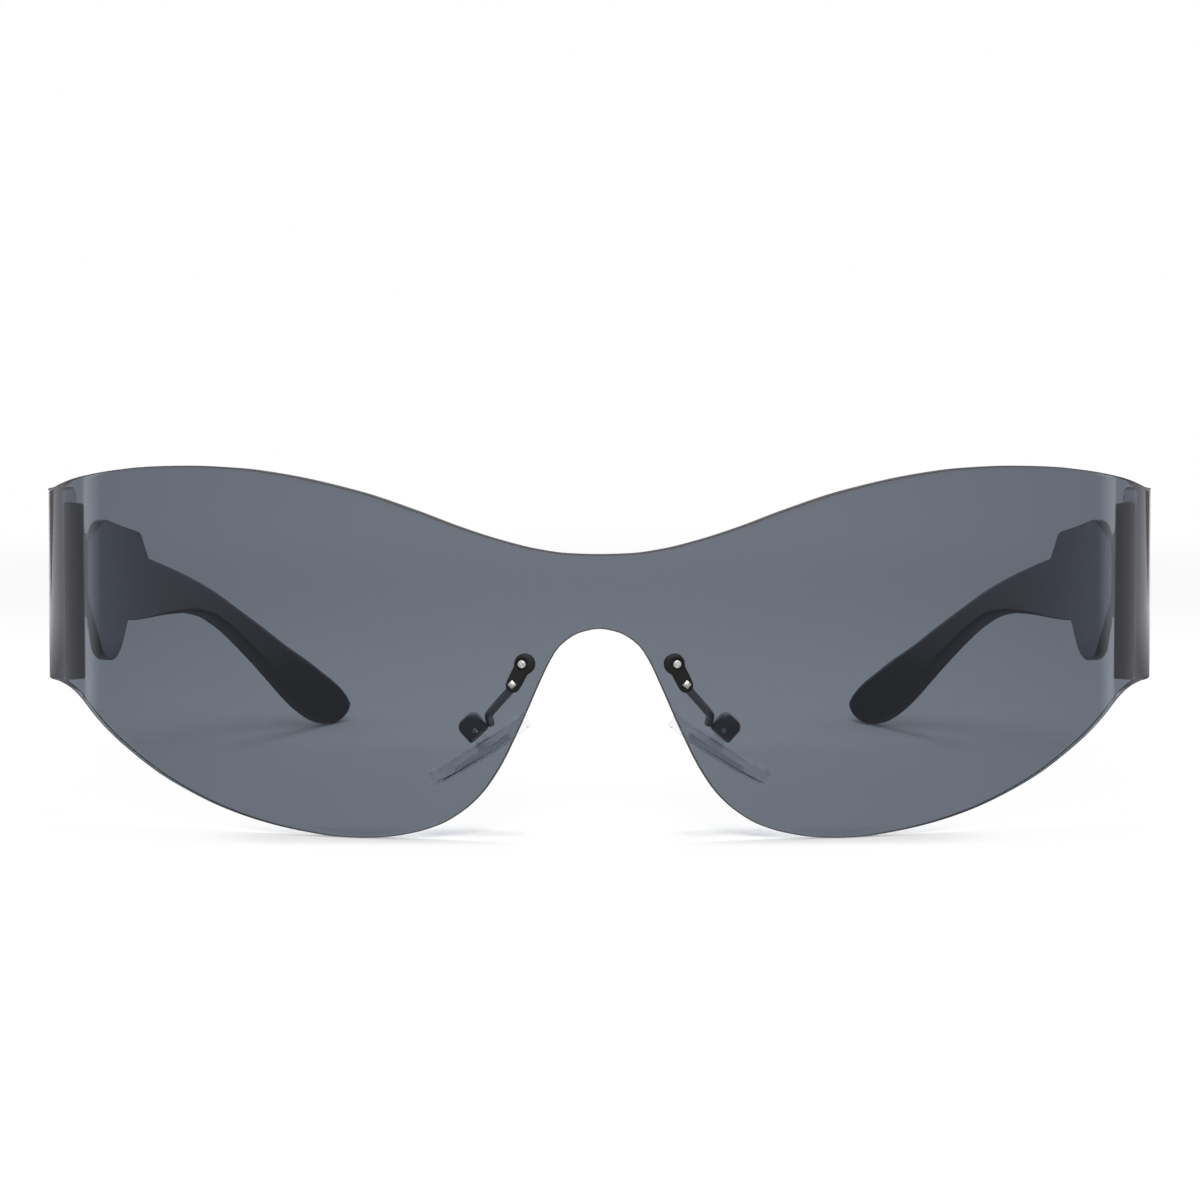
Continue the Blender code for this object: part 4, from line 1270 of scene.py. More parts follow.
@dataclass
class Temple:
    """A folding temple: a flat blank with rounded edges, bowed by a Geometry Nodes tree."""

    plan: Plan = PLAN
    knuckles: Knuckles = field(default_factory=Knuckles)
    wing_length: float = 0.0312
    lobe_length: float = 0.0214
    wing_top: float = 0.0390
    wing_bottom: float = 0.0190
    front_top: float = 0.0363
    front_bottom: float = 0.0290
    arm_top: float = 0.0325
    arm_bottom: float = 0.0241
    tip_height: float = 0.0030
    tip_end_height: float = 0.0009
    toe_in: float = math.radians(6.84)
    bow_radius: float = 0.4970
    wing_thickness: float = 0.00185
    arm_thickness: float = 0.0026
    thickening: tuple[float, float] = (0.2, 0.5)
    inner_skin: float = 0.00015
    inner_edge: float = 0.00012
    outer_edge: float = 0.0008
    front_edge: float = 0.0003
    front_shares: tuple[float, ...] = (0.15, 0.4, 0.7, 1.0)
    edge_share: float = 0.45
    support: float = 0.00006
    support_share: float = 0.08
    tip_rounding: float = 0.0030
    tip_thickness_share: float = 0.4
    stations: int = 200
    edge_steps: int = 6
    wing_top_shares: Shares = (
        (0.096, 0.949), (0.176, 0.964), (0.244, 0.982), (0.314, 0.998), (0.353, 1.0), (0.41, 0.9935),
        (0.603, 0.968), (0.788, 0.946), (0.853, 0.937), (0.885, 0.928), (0.913, 0.903), (0.968, 0.856),
    )
    arm_top_shares: Shares = (
        (0.021, 0.989), (0.0855, 0.957), (0.2125, 0.888), (0.336, 0.803), (0.456, 0.697), (0.575, 0.584),
        (0.69, 0.466), (0.805, 0.353), (0.858, 0.294), (0.918, 0.225), (0.946, 0.186), (0.973, 0.138),
        (0.991, 0.105),
    )
    lobe_shares: Shares = (
        (0.12, 0.2), (0.215, 0.36), (0.275, 0.51), (0.345, 0.67), (0.405, 0.82), (0.465, 0.92),
        (0.555, 0.985), (0.64, 1.0), (0.74, 0.965), (0.795, 0.91), (0.855, 0.82), (0.93, 0.64),
        (0.975, 0.53),
    )
    arm_bottom_shares: Shares = (
        (0.029, 0.992), (0.088, 0.985), (0.176, 0.98), (0.233, 0.972), (0.286, 0.962), (0.332, 0.944),
        (0.386, 0.91), (0.44, 0.85), (0.494, 0.772), (0.546, 0.68), (0.598, 0.58), (0.65, 0.473),
        (0.701, 0.362), (0.752, 0.248), (0.803, 0.145), (0.853, 0.064), (0.89, 0.021), (0.925, 0.0),
        (0.951, 0.0126), (0.973, 0.042), (0.99, 0.08),
    )

    def edges(self, along: np.ndarray) -> tuple[np.ndarray, np.ndarray]:
        """Heights of the lower and upper edges.

        Args:
            along: distances behind the hinge axis.

        Returns:
            The lower and the upper heights.
        """
        length = self.plan.temple_length
        half_tip = self.tip_end_height / 2
        arm = length - self.wing_length
        rest = length - self.lobe_length
        drop = self.front_bottom - self.wing_bottom
        upper = [(0.0, self.front_top)]
        upper += [(u * self.wing_length, v * self.wing_top) for u, v in self.wing_top_shares]
        upper += [(self.wing_length, self.arm_top)]
        upper += [(self.wing_length + u * arm, v * self.arm_top) for u, v in self.arm_top_shares]
        upper += [(length, self.tip_height + half_tip)]
        lower = [(0.0, self.front_bottom)]
        lower += [(u * self.lobe_length, self.front_bottom - v * drop) for u, v in self.lobe_shares]
        lower += [(self.lobe_length, self.arm_bottom)]
        lower += [(self.lobe_length + u * rest, v * self.arm_bottom) for u, v in self.arm_bottom_shares]
        lower += [(length, self.tip_height - half_tip)]
        return smooth_curve(lower, along), smooth_curve(upper, along)

    def section(self, along: float, low: float, high: float) -> list[Point]:
        """Rounded upright section of the flat blank.

        Args:
            along: its distance behind the hinge axis.
            low: its lowest height.
            high: its highest height.

        Returns:
            The points round it.
        """
        length = self.plan.temple_length
        start, end = (share * length for share in self.thickening)
        grown = min(max((along - start) / (end - start), 0), 1)
        eased = grown * grown * (3 - 2 * grown)
        full = self.wing_thickness + (self.arm_thickness - self.wing_thickness) * eased
        past = max(along - (length - self.tip_rounding), 0) / self.tip_rounding
        thick = full * math.sqrt(1 - past**2 * (1 - self.tip_thickness_share**2))
        before = max(self.front_edge - along, 0) / self.front_edge
        shrink = self.front_edge * (1 - math.sqrt(1 - before**2))
        inner = (full - thick) / 2 + shrink
        outer = (full + thick) / 2 - shrink
        low, high = low + shrink, high - shrink
        most = self.edge_share * min(outer - inner, high - low)
        outside = min(self.outer_edge, most)
        inside = min(self.inner_edge + (self.outer_edge - self.inner_edge) * eased, most)
        support = min(self.support, most * self.support_share)
        points = []
        for quarter, radius in enumerate((outside, inside, inside, outside)):
            x = inner + radius if quarter in (1, 2) else outer - radius
            z = high - radius if quarter < 2 else low + radius
            begin = quarter * math.pi / 2
            corner = arc((x, z), radius, begin, begin + math.pi / 2, self.edge_steps)
            aside = support * math.cos(begin), support * math.sin(begin)
            points += [(corner[0][0] + aside[1], corner[0][1] - aside[0]), *corner,
                       (corner[-1][0] - aside[0], corner[-1][1] - aside[1])]
        return [(x, along, z) for x, z in points]

    def bow(self) -> bpy.types.NodeTree:
        """Builds the tree that bows the blank inwards towards its tip.

        Returns:
            The tree.
        """
        sizes = {"Front Inset": "Float", "Toe In": "Float", "Bow Radius": "Float", "Material": "Material"}
        graph, given = new_tree("bow_the_temple", sizes)
        inset, toe_in, radius = graph.named(given, list(sizes)[:-1])
        _, along, _ = graph.split(graph.node("GeometryNodeInputPosition").outputs[0])
        inwards = inset + along * graph.math("TANGENT", toe_in) + along * along / (2 * radius)
        offset = graph.node("ShaderNodeCombineXYZ", None, {0: 0 - inwards})
        moved = graph.node("GeometryNodeSetPosition", None, {
            "Geometry": given.outputs["Geometry"], "Offset": offset.outputs[0]})
        return end_tree(graph, given, moved.outputs[0])

    def shape(self) -> bpy.types.Mesh:
        """Makes the left temple.

        Returns:
            Its mesh in the model's frame.
        """
        plan = self.plan
        stations = even_stations(plan.temple_length, self.edges, self.stations)
        fine = self.front_edge * np.array(self.front_shares)
        stations = np.unique(np.concatenate((stations, fine)))
        lower, upper = self.edges(stations)
        mesh = loft("temple_blank", [self.section(*station) for station in zip(stations, lower, upper)])
        solid = Solid("temple", mesh)
        solid.run(self.bow(), {"Front Inset": plan.knuckle_radius + self.inner_skin, "Toe In": self.toe_in,
                               "Bow Radius": self.bow_radius, "Material": PLASTIC.material()})
        clear = plan.knuckle_radius + GAP + self.inner_skin
        upper_start = plan.hinge_top - plan.outer_knuckle - GAP
        solid.cut(rod("lower_notch", clear, plan.hinge_bottom - OVERRUN, plan.centre_bottom))
        solid.cut(rod("upper_notch", clear, upper_start, self.wing_top + OVERRUN))
        solid.join(self.knuckles.one("centre_knuckle", 1, plan.centre_bottom, plan.centre_knuckle))
        return solid.cut(self.knuckles.hole("temple_bore")).finished(plan.hinge())

    def build(self) -> None:
        """Makes both temples and shows them."""
        show_pair("temple", self.shape(), PLASTIC, body="temple")


@dataclass
class Fasteners:
    """The screws and pins: each is shaped once, and a Geometry Nodes tree sets it on its points."""

    plan: Plan = PLAN
    slot_width: float = 0.0003
    slot_depth: float = 0.0004
    head_edge: float = 0.00009
    head_edge_steps: int = 5
    end_chamfer_share: float = 0.3
    hinge_head: tuple[float, float] = (0.0009, 0.0005)
    hinge_shank: float = 0.0004
    hinge_tail: float = 0.0004
    lens_head: tuple[float, float] = (0.0005, 0.00045)
    lens_shank: float = 0.00042
    pad_head: tuple[float, float] = (0.0003, 0.0002)
    pad_shank: float = 0.00027
    pin_lean: float = math.radians(25.8)
    pin_distance: float = 0.0029
    pin_side: float = 0.0008
    pin_edge: float = 0.00006
    pin_turn: float = math.radians(43)
    pin_proud: float = 0.00015
    washer_thickness: float = 0.0007
    base_thickness: float = 0.0008
    head_recess: float = 0.00035
    pad_screw: tuple[float, float, float] = (0.0161, 0.0115, 0.0133)
    box_width: float = 0.0030
    box_tilt: float = math.radians(42)

    @property
    def pin(self) -> Vector:
        """The pin's place beside the lens screw, across and up."""
        return Vector((math.sin(self.pin_lean), -math.cos(self.pin_lean))) * self.pin_distance

    @property
    def box(self) -> Matrix:
        """The left pad box's frame."""
        return self.at_pad_screw(self.box_tilt)

    def at_pad_screw(self, tilt: float) -> Matrix:
        """A frame at the left pad screw, tilted about it."""
        return Matrix.Translation(self.plan.at(*self.pad_screw)) @ Matrix.Rotation(tilt, 4, "Y")

    def profile(self, head: tuple[float, float], shank: float, length: float) -> list[Point]:
        """Profile of a headed screw with a rounded head and a chamfered end, its head's seat at height 0.

        Args:
            head: the head's radius and thickness.
            shank: the shank's radius.
            length: the shank's length.

        Returns:
            The (radius, height) points, from the top.
        """
        radius, thickness = head
        edge = self.head_edge
        rim = arc((radius - edge, thickness - edge), edge, math.pi / 2, 0, self.head_edge_steps)
        chamfer = shank * self.end_chamfer_share
        end = [(shank, chamfer - length), (shank - chamfer, -length), (0, -length)]
        return [(0, thickness), *rim, (radius, 0), (shank, 0), *end]

    def screw(self, name: str, head: tuple[float, float], shank: float, length: float,
              slotted: bool = True) -> bpy.types.Mesh:
        """A turned screw.

        Args:
            name: the mesh's name.
            head: the head's radius and thickness.
            shank: the shank's radius.
            length: the shank's length.
            slotted: whether its head has a slot.

        Returns:
            The mesh, its head's seat at the origin and its head up.
        """
        solid = Solid(name, turned(name, self.profile(head, shank, length)))
        if slotted:
            size = (2 * head[0] + OVERRUN, self.slot_width, 2 * self.slot_depth)
            solid.cut(block("slot", size, (0, 0, head[1])))
        mesh = solid.finished()
        measured = mesh.attributes.new(TURNING, "FLOAT", "POINT")
        measured.data.foreach_set("value", [math.hypot(v.co.x, v.co.y) for v in mesh.vertices])
        return mesh

    def tree(self) -> bpy.types.NodeTree:
        """Builds the tree that sets one fastener on each point, turned as the point says.

        Returns:
            The tree.
        """
        sizes = {"Fastener": "Object", "Size": "Float", "Material": "Material"}
        graph, given = new_tree("set_on_points", sizes)
        shape = graph.node("GeometryNodeObjectInfo", None, {"Object": given.outputs["Fastener"]})
        turn = graph.node("GeometryNodeInputNamedAttribute", {"data_type": "FLOAT_VECTOR"}, {"Name": "turn"})
        angles = graph.node("FunctionNodeEulerToRotation", None, {0: turn.outputs[0]})
        placed = graph.node("GeometryNodeInstanceOnPoints", None, {
            "Points": given.outputs["Geometry"], "Instance": shape.outputs["Geometry"],
            "Rotation": angles.outputs[0], "Scale": given.outputs["Size"]})
        return end_tree(graph, given, placed.outputs[0])

    def on_points(self, kind: str, fastener: bpy.types.Mesh, place: Matrix, tree: bpy.types.NodeTree) -> None:
        """Sets a fastener at a place on the left and at its mirror image on the right, and shows the pair.

        Args:
            kind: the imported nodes' name before the side.
            fastener: its mesh, which looks the same mirrored.
            place: where the left one goes.
            tree: the tree that sets it there.
        """
        flip = Matrix.Diagonal((-1, 1, 1, 1))
        places = [place, flip @ place @ flip]
        points = bpy.data.meshes.new(kind + "_points")
        points.from_pydata([m.translation for m in places], [], [])
        turns = points.attributes.new("turn", "FLOAT_VECTOR", "POINT")
        turns.data.foreach_set("vector", [a for m in places for a in m.to_euler()])
        master = bpy.data.objects.new(kind + "_master", fastener)
        bpy.context.scene.collection.objects.link(master)
        solid = Solid(kind + "s", points)
        solid.tools.append(master)
        solid.run(tree, {"Fastener": master, "Size": 1.0, "Material": STEEL.material()})
        nodes = [f"{kind}_{side.label}" for side in Side]
        show(kind + "s", solid.finished(), STEEL, "front", nodes)

    def build(self) -> None:
        """Makes every screw and pin and shows them."""
        plan = self.plan
        tree = self.tree()
        upright = Matrix.Rotation(math.pi / 2, 4, "X")
        top = plan.hinge_top + FIT_GAP
        length = top - plan.hinge_bottom + self.hinge_tail
        hinge = self.screw("hinge", self.hinge_head, self.hinge_shank, length)
        self.on_points("hinge_screw", hinge, plan.hinge() @ Matrix.Translation((0, 0, top)), tree)
        washer_front = -(GAP + self.washer_thickness)
        seat = washer_front + self.head_recess - FIT_GAP
        through = plan.thickness + GAP + self.base_thickness
        lens = self.screw("mount", self.lens_head, self.lens_shank, through - seat)
        across = Matrix.Rotation(math.pi / 2 + self.pin_lean, 4, "Y") @ upright
        self.on_points("lens_screw", lens, plan.mount() @ Matrix.Translation((0, seat, 0)) @ across, tree)
        front = washer_front - self.pin_proud
        size = (self.pin_side, self.pin_side, through - front)
        pin = Solid("pin", block("pin", size)).bevel(self.pin_edge, segments=2).finished()
        middle = Matrix.Translation((self.pin.x, (front + through) / 2, self.pin.y))
        turned_in = Matrix.Rotation(self.pin_turn, 4, "Y") @ upright
        self.on_points("lens_pin", pin, plan.mount() @ middle @ turned_in, tree)
        pad = self.screw("pad", self.pad_head, self.pad_shank, self.box_width + FIT_GAP, slotted=False)
        head = Matrix.Translation((0, -(self.box_width / 2 + FIT_GAP), 0))
        self.on_points("pad_screw", pad, self.box @ head @ upright, tree)


@dataclass
class PadMount:
    """What holds a nose pad: the washer before the lens, and the brazed arm behind it."""

    plan: Plan = PLAN
    fasteners: Fasteners = field(default_factory=Fasteners)
    washer_head: float = 0.00135
    washer_head_offset: float = 0.00034
    washer_tail: float = 0.00095
    washer_tail_offset: tuple[float, float] = (-0.00014, -0.0001)
    washer_edge: float = 0.00018
    base_head: float = 0.0011
    base_tail: float = 0.00092
    keyhole_steps: tuple[int, int] = (32, 18)
    screw_bore: float = 0.00052
    head_bore: float = 0.0008
    pin_room: float = 0.00004
    bore_sides: int = 32
    wire_radius: float = 0.00054
    wire_sides: int = 28
    wire_steps: int = 8
    wire_points: tuple[Point, ...] = (
        (0.0128, 0.0062, 0.0174), (0.0141, 0.0089, 0.0157), (0.0143, 0.0100, 0.0151))
    wire_end_below: float = 0.0007
    braze: float = 0.00012
    box_length: float = 0.0032
    box_above: float = 0.0021
    box_below: float = 0.0010
    box_wall: float = 0.0005
    box_rounding: float = 0.0011
    box_edge: float = 0.0004
    box_edge_steps: int = 4
    box_sharp_angle: float = 50
    box_steps: int = 10
    box_bore: float = 0.00036

    def keyhole(self, head: Point, head_radius: float, tail: Point, tail_radius: float) -> list[Point]:
        """Outline of a round head and a narrower round tail below it.

        Args:
            head: the head's centre.
            head_radius: the head's radius.
            tail: the tail's centre.
            tail_radius: the tail's radius.

        Returns:
            Its points in order.
        """
        lean = math.atan2(tail[1] - head[1], tail[0] - head[0])
        neck = math.asin(tail_radius / head_radius)
        head_steps, tail_steps = self.keyhole_steps
        points = arc(head, head_radius, lean + neck, lean + 2 * math.pi - neck, head_steps)
        return points + arc(tail, tail_radius, lean - math.pi / 2, lean + math.pi / 2, tail_steps)

    def hole(self, radius: float, start: float, end: float) -> bpy.types.Mesh:
        """Cutter for a round hole, front to back."""
        return rod("mount_hole", radius, start, end, along_y=True, sides=self.bore_sides)

    def square_hole(self, depth: float) -> bpy.types.Mesh:
        """Cutter for the pin's hole through a plate.

        Args:
            depth: a depth in the plate, behind the lens's outer face.

        Returns:
            The mesh, in the mount's frame.
        """
        parts = self.fasteners
        snug = parts.pin_side + self.pin_room
        mesh = block("pin_hole", (snug, snug, 2 * OVERRUN))
        mesh.transform(Matrix.Translation((parts.pin.x, depth, parts.pin.y))
                       @ Matrix.Rotation(parts.pin_turn, 4, "Y") @ Matrix.Rotation(math.pi / 2, 4, "X"))
        return mesh

    def washer(self) -> bpy.types.Mesh:
        """Makes the left washer.

        Returns:
            Its mesh in the model's frame.
        """
        parts = self.fasteners
        front = -(GAP + parts.washer_thickness)
        tail = parts.pin + Vector(self.washer_tail_offset)
        outline = self.keyhole((-self.washer_head_offset, 0), self.washer_head, tail, self.washer_tail)
        mesh = plate("washer", outline, parts.washer_thickness, facing=True)
        mesh.transform(Matrix.Translation((0, front + parts.washer_thickness / 2, 0)))
        solid = Solid("washer", mesh).bevel(self.washer_edge)
        solid.cut(self.hole(self.screw_bore, front - OVERRUN, OVERRUN))
        solid.cut(self.hole(self.head_bore, front - OVERRUN, front + parts.head_recess))
        solid.cut(self.square_hole(front))
        return solid.finished(self.plan.mount())

    def route(self) -> list[Vector]:
        """Middle line of the wire, from inside the base plate to its end beside the box.

        Returns:
            Its points.
        """
        parts = self.fasteners
        behind = self.plan.thickness + GAP + parts.base_thickness / 2
        start = self.plan.mount() @ Vector((parts.pin.x, behind, parts.pin.y - parts.pin_side / 2))
        beside = -(self.box_length / 2 + self.wire_radius - self.braze)
        end = parts.box @ Vector((beside, 0, -self.wire_end_below))
        points = [start] + [self.plan.at(*point) for point in self.wire_points] + [end]
        ends = [2 * points[0] - points[1]] + points + [2 * points[-1] - points[-2]]
        route = []
        for before, first, second, after in zip(ends, ends[1:], ends[2:], ends[3:]):
            for t in np.linspace(0, 1, self.wire_steps, endpoint=False):
                cubic = (-before + 3 * first - 3 * second + after) * t**3
                square = (2 * before - 5 * first + 4 * second - after) * t**2
                route.append((cubic + square + (second - before) * t + 2 * first) / 2)
        return route + [points[-1]]

    def sweep(self) -> bpy.types.NodeTree:
        """Builds the tree that draws a round wire along a route.

        Returns:
            The tree.
        """
        graph, given = new_tree("draw_the_wire", {"Radius": "Float", "Sides": "Int", "Material": "Material"})
        path = graph.node("GeometryNodeMeshToCurve", None, {0: given.outputs["Geometry"]})
        ring = graph.node("GeometryNodeCurvePrimitiveCircle", None, {
            "Radius": given.outputs["Radius"], "Resolution": given.outputs["Sides"]})
        wire = graph.node("GeometryNodeCurveToMesh", None, {
            "Curve": path.outputs[0], "Profile Curve": ring.outputs[0], "Fill Caps": True})
        return end_tree(graph, given, wire.outputs[0])

    def wire(self) -> bpy.types.Mesh:
        """Makes the left wire, in the box's frame.

        Returns:
            Its mesh.
        """
        route = self.route()
        line = bpy.data.meshes.new("route")
        line.from_pydata(route, [(i, i + 1) for i in range(len(route) - 1)], [])
        solid = Solid("wire", line)
        solid.run(self.sweep(), {
            "Radius": self.wire_radius, "Sides": self.wire_sides, "Material": PLATING.material()})
        bm = bmesh.new()
        bm.from_mesh(solid.finished(self.fasteners.box.inverted()))
        bmesh.ops.remove_doubles(bm, verts=bm.verts, dist=WELD)
        return mesh_from(bm, "wire")

    def arm(self) -> bpy.types.Mesh:
        """Makes the left arm: box, wire and base plate brazed in one.

        Returns:
            Its mesh in the model's frame.
        """
        parts, plan = self.fasteners, self.plan
        half = self.box_length / 2
        crown = self.box_above - self.box_rounding
        outline = [(-half, -self.box_below), (half, -self.box_below)]
        for side, start in ((1, 0), (-1, math.pi / 2)):
            centre = (side * (half - self.box_rounding), crown)
            outline += arc(centre, self.box_rounding, start, start + math.pi / 2, self.box_steps)
        solid = Solid("pad_box", plate("box", outline, parts.box_width, facing=True))
        solid.bevel(self.box_edge, self.box_edge_steps, self.box_sharp_angle)
        hollow = (self.box_length - 2 * self.box_wall, parts.box_width - 2 * self.box_wall,
                  self.box_above + self.box_below)
        solid.cut(block("hollow", hollow, (0, 0, (self.box_above - self.box_below) / 2 - self.box_wall)))
        to_box = parts.box.inverted() @ plan.mount()
        base_front = plan.thickness + GAP
        base_middle = base_front + parts.base_thickness / 2
        base = plate("base", self.keyhole((0, 0), self.base_head, parts.pin, self.base_tail),
                     parts.base_thickness, facing=True)
        base.transform(to_box @ Matrix.Translation((0, base_middle, 0)))
        solid.join(self.wire())
        solid.join(base)
        end = base_front + parts.base_thickness + OVERRUN
        round_hole = self.hole(self.screw_bore, base_front - OVERRUN / 2, end)
        for hole in (round_hole, self.square_hole(base_middle)):
            hole.transform(to_box)
            solid.cut(hole)
        reach = parts.box_width / 2 + OVERRUN
        return solid.cut(self.hole(self.box_bore, -reach, reach)).finished(parts.box)

    def build(self) -> None:
        """Makes both mounts and shows them."""
        show_pair("pad_washer", self.washer(), WASHER)
        show_pair("pad_arm", self.arm(), PLATING)


@dataclass
class NosePad:
    """A nose pad: a clear cushion over a stiff core, whose tongue hangs on the pad screw."""

    plan: Plan = PLAN
    fasteners: Fasteners = field(default_factory=Fasteners)
    tilt: float = math.radians(32)
    length: float = 0.0146
    width: float = 0.0072
    thickness: float = 0.0020
    drop: float = 0.0029
    shift: float = 0.0007
    nose_end_share: float = 0.78
    fullness_share: float = 0.62
    bow: float = 0.00055
    core_length: float = 0.0080
    core_width: float = 0.0036
    core_thickness: float = 0.00045
    core_edge: float = 0.00015
    tongue_radius: float = 0.0009
    tongue_thickness: float = 0.0010
    tongue_steps: int = 16
    tongue_bore: float = 0.00046
    bore_sides: int = 32
    room: float = 0.0001
    outermost_share: float = 0.4
    smoothing: int = 4

    @property
    def place(self) -> Matrix:
        """The left pad's frame."""
        return self.fasteners.at_pad_screw(self.tilt)

    def core(self) -> bpy.types.Mesh:
        """Makes the left core.

        Returns:
            Its mesh in the model's frame.
        """
        size = (self.core_length, self.core_width, self.core_thickness)
        solid = Solid("core", block("core", size, (self.shift, 0, -self.drop))).bevel(self.core_edge)
        outline = arc((0, 0), self.tongue_radius, 0, math.pi, self.tongue_steps)
        outline += [(-self.tongue_radius, -self.drop), (self.tongue_radius, -self.drop)]
        solid.join(plate("tongue", outline, self.tongue_thickness, facing=True))
        reach = self.fasteners.box_width
        bore = rod("tongue_bore", self.tongue_bore, -reach, reach, along_y=True, sides=self.bore_sides)
        return solid.cut(bore).finished(self.place)

    def cushion(self) -> bpy.types.Mesh:
        """Makes the left cushion.

        Returns:
            Its mesh in the model's frame.
        """
        bm = bmesh.new()
        bmesh.ops.create_cube(bm, size=1)
        bmesh.ops.subdivide_edges(bm, edges=bm.edges, cuts=2, use_grid_fill=True)
        for vert in bm.verts:
            along, across, through = (
                c if abs(c) > self.outermost_share else math.copysign(self.fullness_share / 2, c)
                for c in vert.co)
            taper = 1 - (1 - self.nose_end_share) * (0.5 - along)
            vert.co.x = along * self.length + self.shift
            vert.co.y = across * self.width * taper
            vert.co.z = through * self.thickness - self.drop + self.bow * (2 * along) ** 2
        solid = Solid("cushion", mesh_from(bm, "cushion")).subdivide(self.smoothing)
        room = 2 * self.room
        pocket = (self.core_length + room, self.core_width + room, self.core_thickness + room)
        solid.cut(block("pocket", pocket, (self.shift, 0, -self.drop)))
        slot = (2 * self.tongue_radius + room, self.tongue_thickness + room, self.thickness)
        solid.cut(block("tongue_slot", slot, (0, 0, self.thickness / 2 - self.drop)))
        return solid.finished(self.place)

    def build(self) -> None:
        """Makes both pads and shows them."""
        show_pair("pad_core", self.core(), CORE, body="nose_pad")
        show_pair("nose_pad", self.cushion(), SILICONE, body="nose_pad")


@dataclass
class Studio:
    """The floor, the light round it and the camera.

    Angles are in degrees from the camera's side.
    A pair of angles or distances says where a step starts and ends.
    """

    plan: Plan = PLAN
    # The camera, fitted to the photograph
    camera_distance: float = 0.450
    camera_height: float = 0.0609
    camera_side: float = 0.00006
    camera_pitch: float = math.radians(3.81)
    camera_clip: tuple[float, float] = (0.01, 100)
    focal_length: float = 106.6
    film_width: float = 36
    # The lamps: name, place, side and power in watts
    lamps: tuple[tuple[str, Point, float, float], ...] = (
        ("front", (0.0, -1.0, 0.55), 0.30, 9.0), ("overhead", (0.0, 0.1, 0.80), 0.30, 2.2))
    soft_share: float = 0.56
    # The floor, and how much of its own shading shows near the model and far from it
    floor_size: float = 6.0
    floor_cells: int = 8
    floor_drop: float = 0.00005
    floor_colour: float = 0.95
    floor_roughness: float = 0.9
    floor_share: float = 0.18
    floor_fade: tuple[float, float] = (0.15, 0.8)
    # Where the shadow is cleaned away: behind the lens, beside its lobes and before it
    clean_share: float = 0.85
    clean_front: tuple[float, float] = (-0.072, -0.058)
    clean_back: tuple[float, float] = (0.02, 0.05)
    clean_side: tuple[float, float] = (0.040, 0.054)
    clean_before: tuple[float, float] = (-0.082, -0.0755)
    # What polished surfaces mirror: dim before, a strip light at each side, white behind
    mirrored_share: float = 0.95
    mirrored_tint: tuple[float, float, float] = (0.98, 0.98, 1.05)
    dim_side: float = 0.20
    strip_light: float = 2.0
    side_light: float = 0.58
    back_light: float = 1.1
    strip_rise: tuple[float, float] = (71.1, 74.6)
    strip_fall: tuple[float, float] = (75.0, 77.6)
    side_rise: tuple[float, float] = (78.0, 112.0)
    corner_depth: float = 0.018
    # Painted reflection: a dim tinted band in the floor far behind each end of the lens, standing for a grey
    # screen, that only polished surfaces see
    screen_tint: tuple[float, float, float] = (1.2, 0.97, 0.95)
    screen_light: float = 0.28
    screen_slope: float = 0.698
    screen_start: tuple[float, float] = (0.10, 0.12)
    screen_end: tuple[float, float] = (149.0, 152.5)
    screen_side: tuple[float, float] = (0.20, 0.28)
    # Painted shade in the floor's reflection close behind the model, and a painted bright patch there that the
    # temples' wings mirror
    near_dim: float = 0.85
    near: tuple[float, float] = (0.15, 0.45)
    behind: tuple[float, float] = (0.0, 0.08)
    patch_light: tuple[float, float] = (2.2, 0.85)
    patch_slope: float = 0.45
    patch_side: tuple[float, float] = (-0.035, -0.02)
    patch_fade: tuple[float, float] = (-0.075, -0.02)
    patch_start: tuple[float, float] = (0.16, 0.20)

    def camera(self) -> None:
        """Sets the camera at the photograph's angle."""
        data = bpy.data.cameras.new("view")
        data.lens = self.focal_length
        data.sensor_width = self.film_width
        data.clip_start, data.clip_end = self.camera_clip
        camera = bpy.data.objects.new("view", data)
        camera.location = self.plan.at(self.camera_side, -self.camera_distance, self.camera_height)
        camera.rotation_euler = (math.pi / 2 - self.camera_pitch, 0, 0)
        bpy.context.scene.collection.objects.link(camera)
        bpy.context.scene.camera = camera

    def floor(self) -> None:
        """Makes the white floor, which keeps the model's shadow and shows polished surfaces painted
        reflections.
        """
        bm = bmesh.new()
        bmesh.ops.create_grid(
            bm, x_segments=self.floor_cells, y_segments=self.floor_cells, size=self.floor_size / 2)
        bmesh.ops.translate(bm, verts=bm.verts, vec=(0, 0, -self.floor_drop))
        floor = bpy.data.objects.new("floor", mesh_from(bm, "floor"))
        made = bpy.data.materials.new("floor_white")
        made.use_nodes = True
        graph = Graph(made.node_tree)
        shader = made.node_tree.nodes["Principled BSDF"]
        shader.inputs["Base Color"].default_value = (*[self.floor_colour] * 3, 1)
        shader.inputs["Roughness"].default_value = self.floor_roughness
        shader.inputs["Specular IOR Level"].default_value = 0.0
        seen, glossy, through = graph.named(
            graph.node("ShaderNodeLightPath"), ("Is Camera Ray", "Is Glossy Ray", "Is Transmission Ray"))
        white = graph.node("ShaderNodeEmission", None, {"Color": (1, 1, 1, 1), "Strength": 1.0}).outputs[0]
        x, y, _ = graph.split(graph.node("ShaderNodeTexCoord").outputs["Object"])
        side = graph.math("ABSOLUTE", x)
        distance = graph.math("SQRT", x * x + y * y)
        share = (seen + through) * (1 - self.shading_kept(graph, side, y, distance))
        lit = graph.node("ShaderNodeMixShader", None, {0: share, 1: shader.outputs[0], 2: white})
        # glossy rays see painted reflections in the floor instead of its own shading
        mixed = graph.node("ShaderNodeMixShader", None, {
            0: glossy * (1 - through) * self.mirrored_share, 1: lit.outputs[0],
            2: self.reflected(graph, side, y, distance)})
        graph.feed(made.node_tree.nodes["Material Output"].inputs["Surface"], mixed.outputs[0])
        floor.data.materials.append(made)
        bpy.context.scene.collection.objects.link(floor)

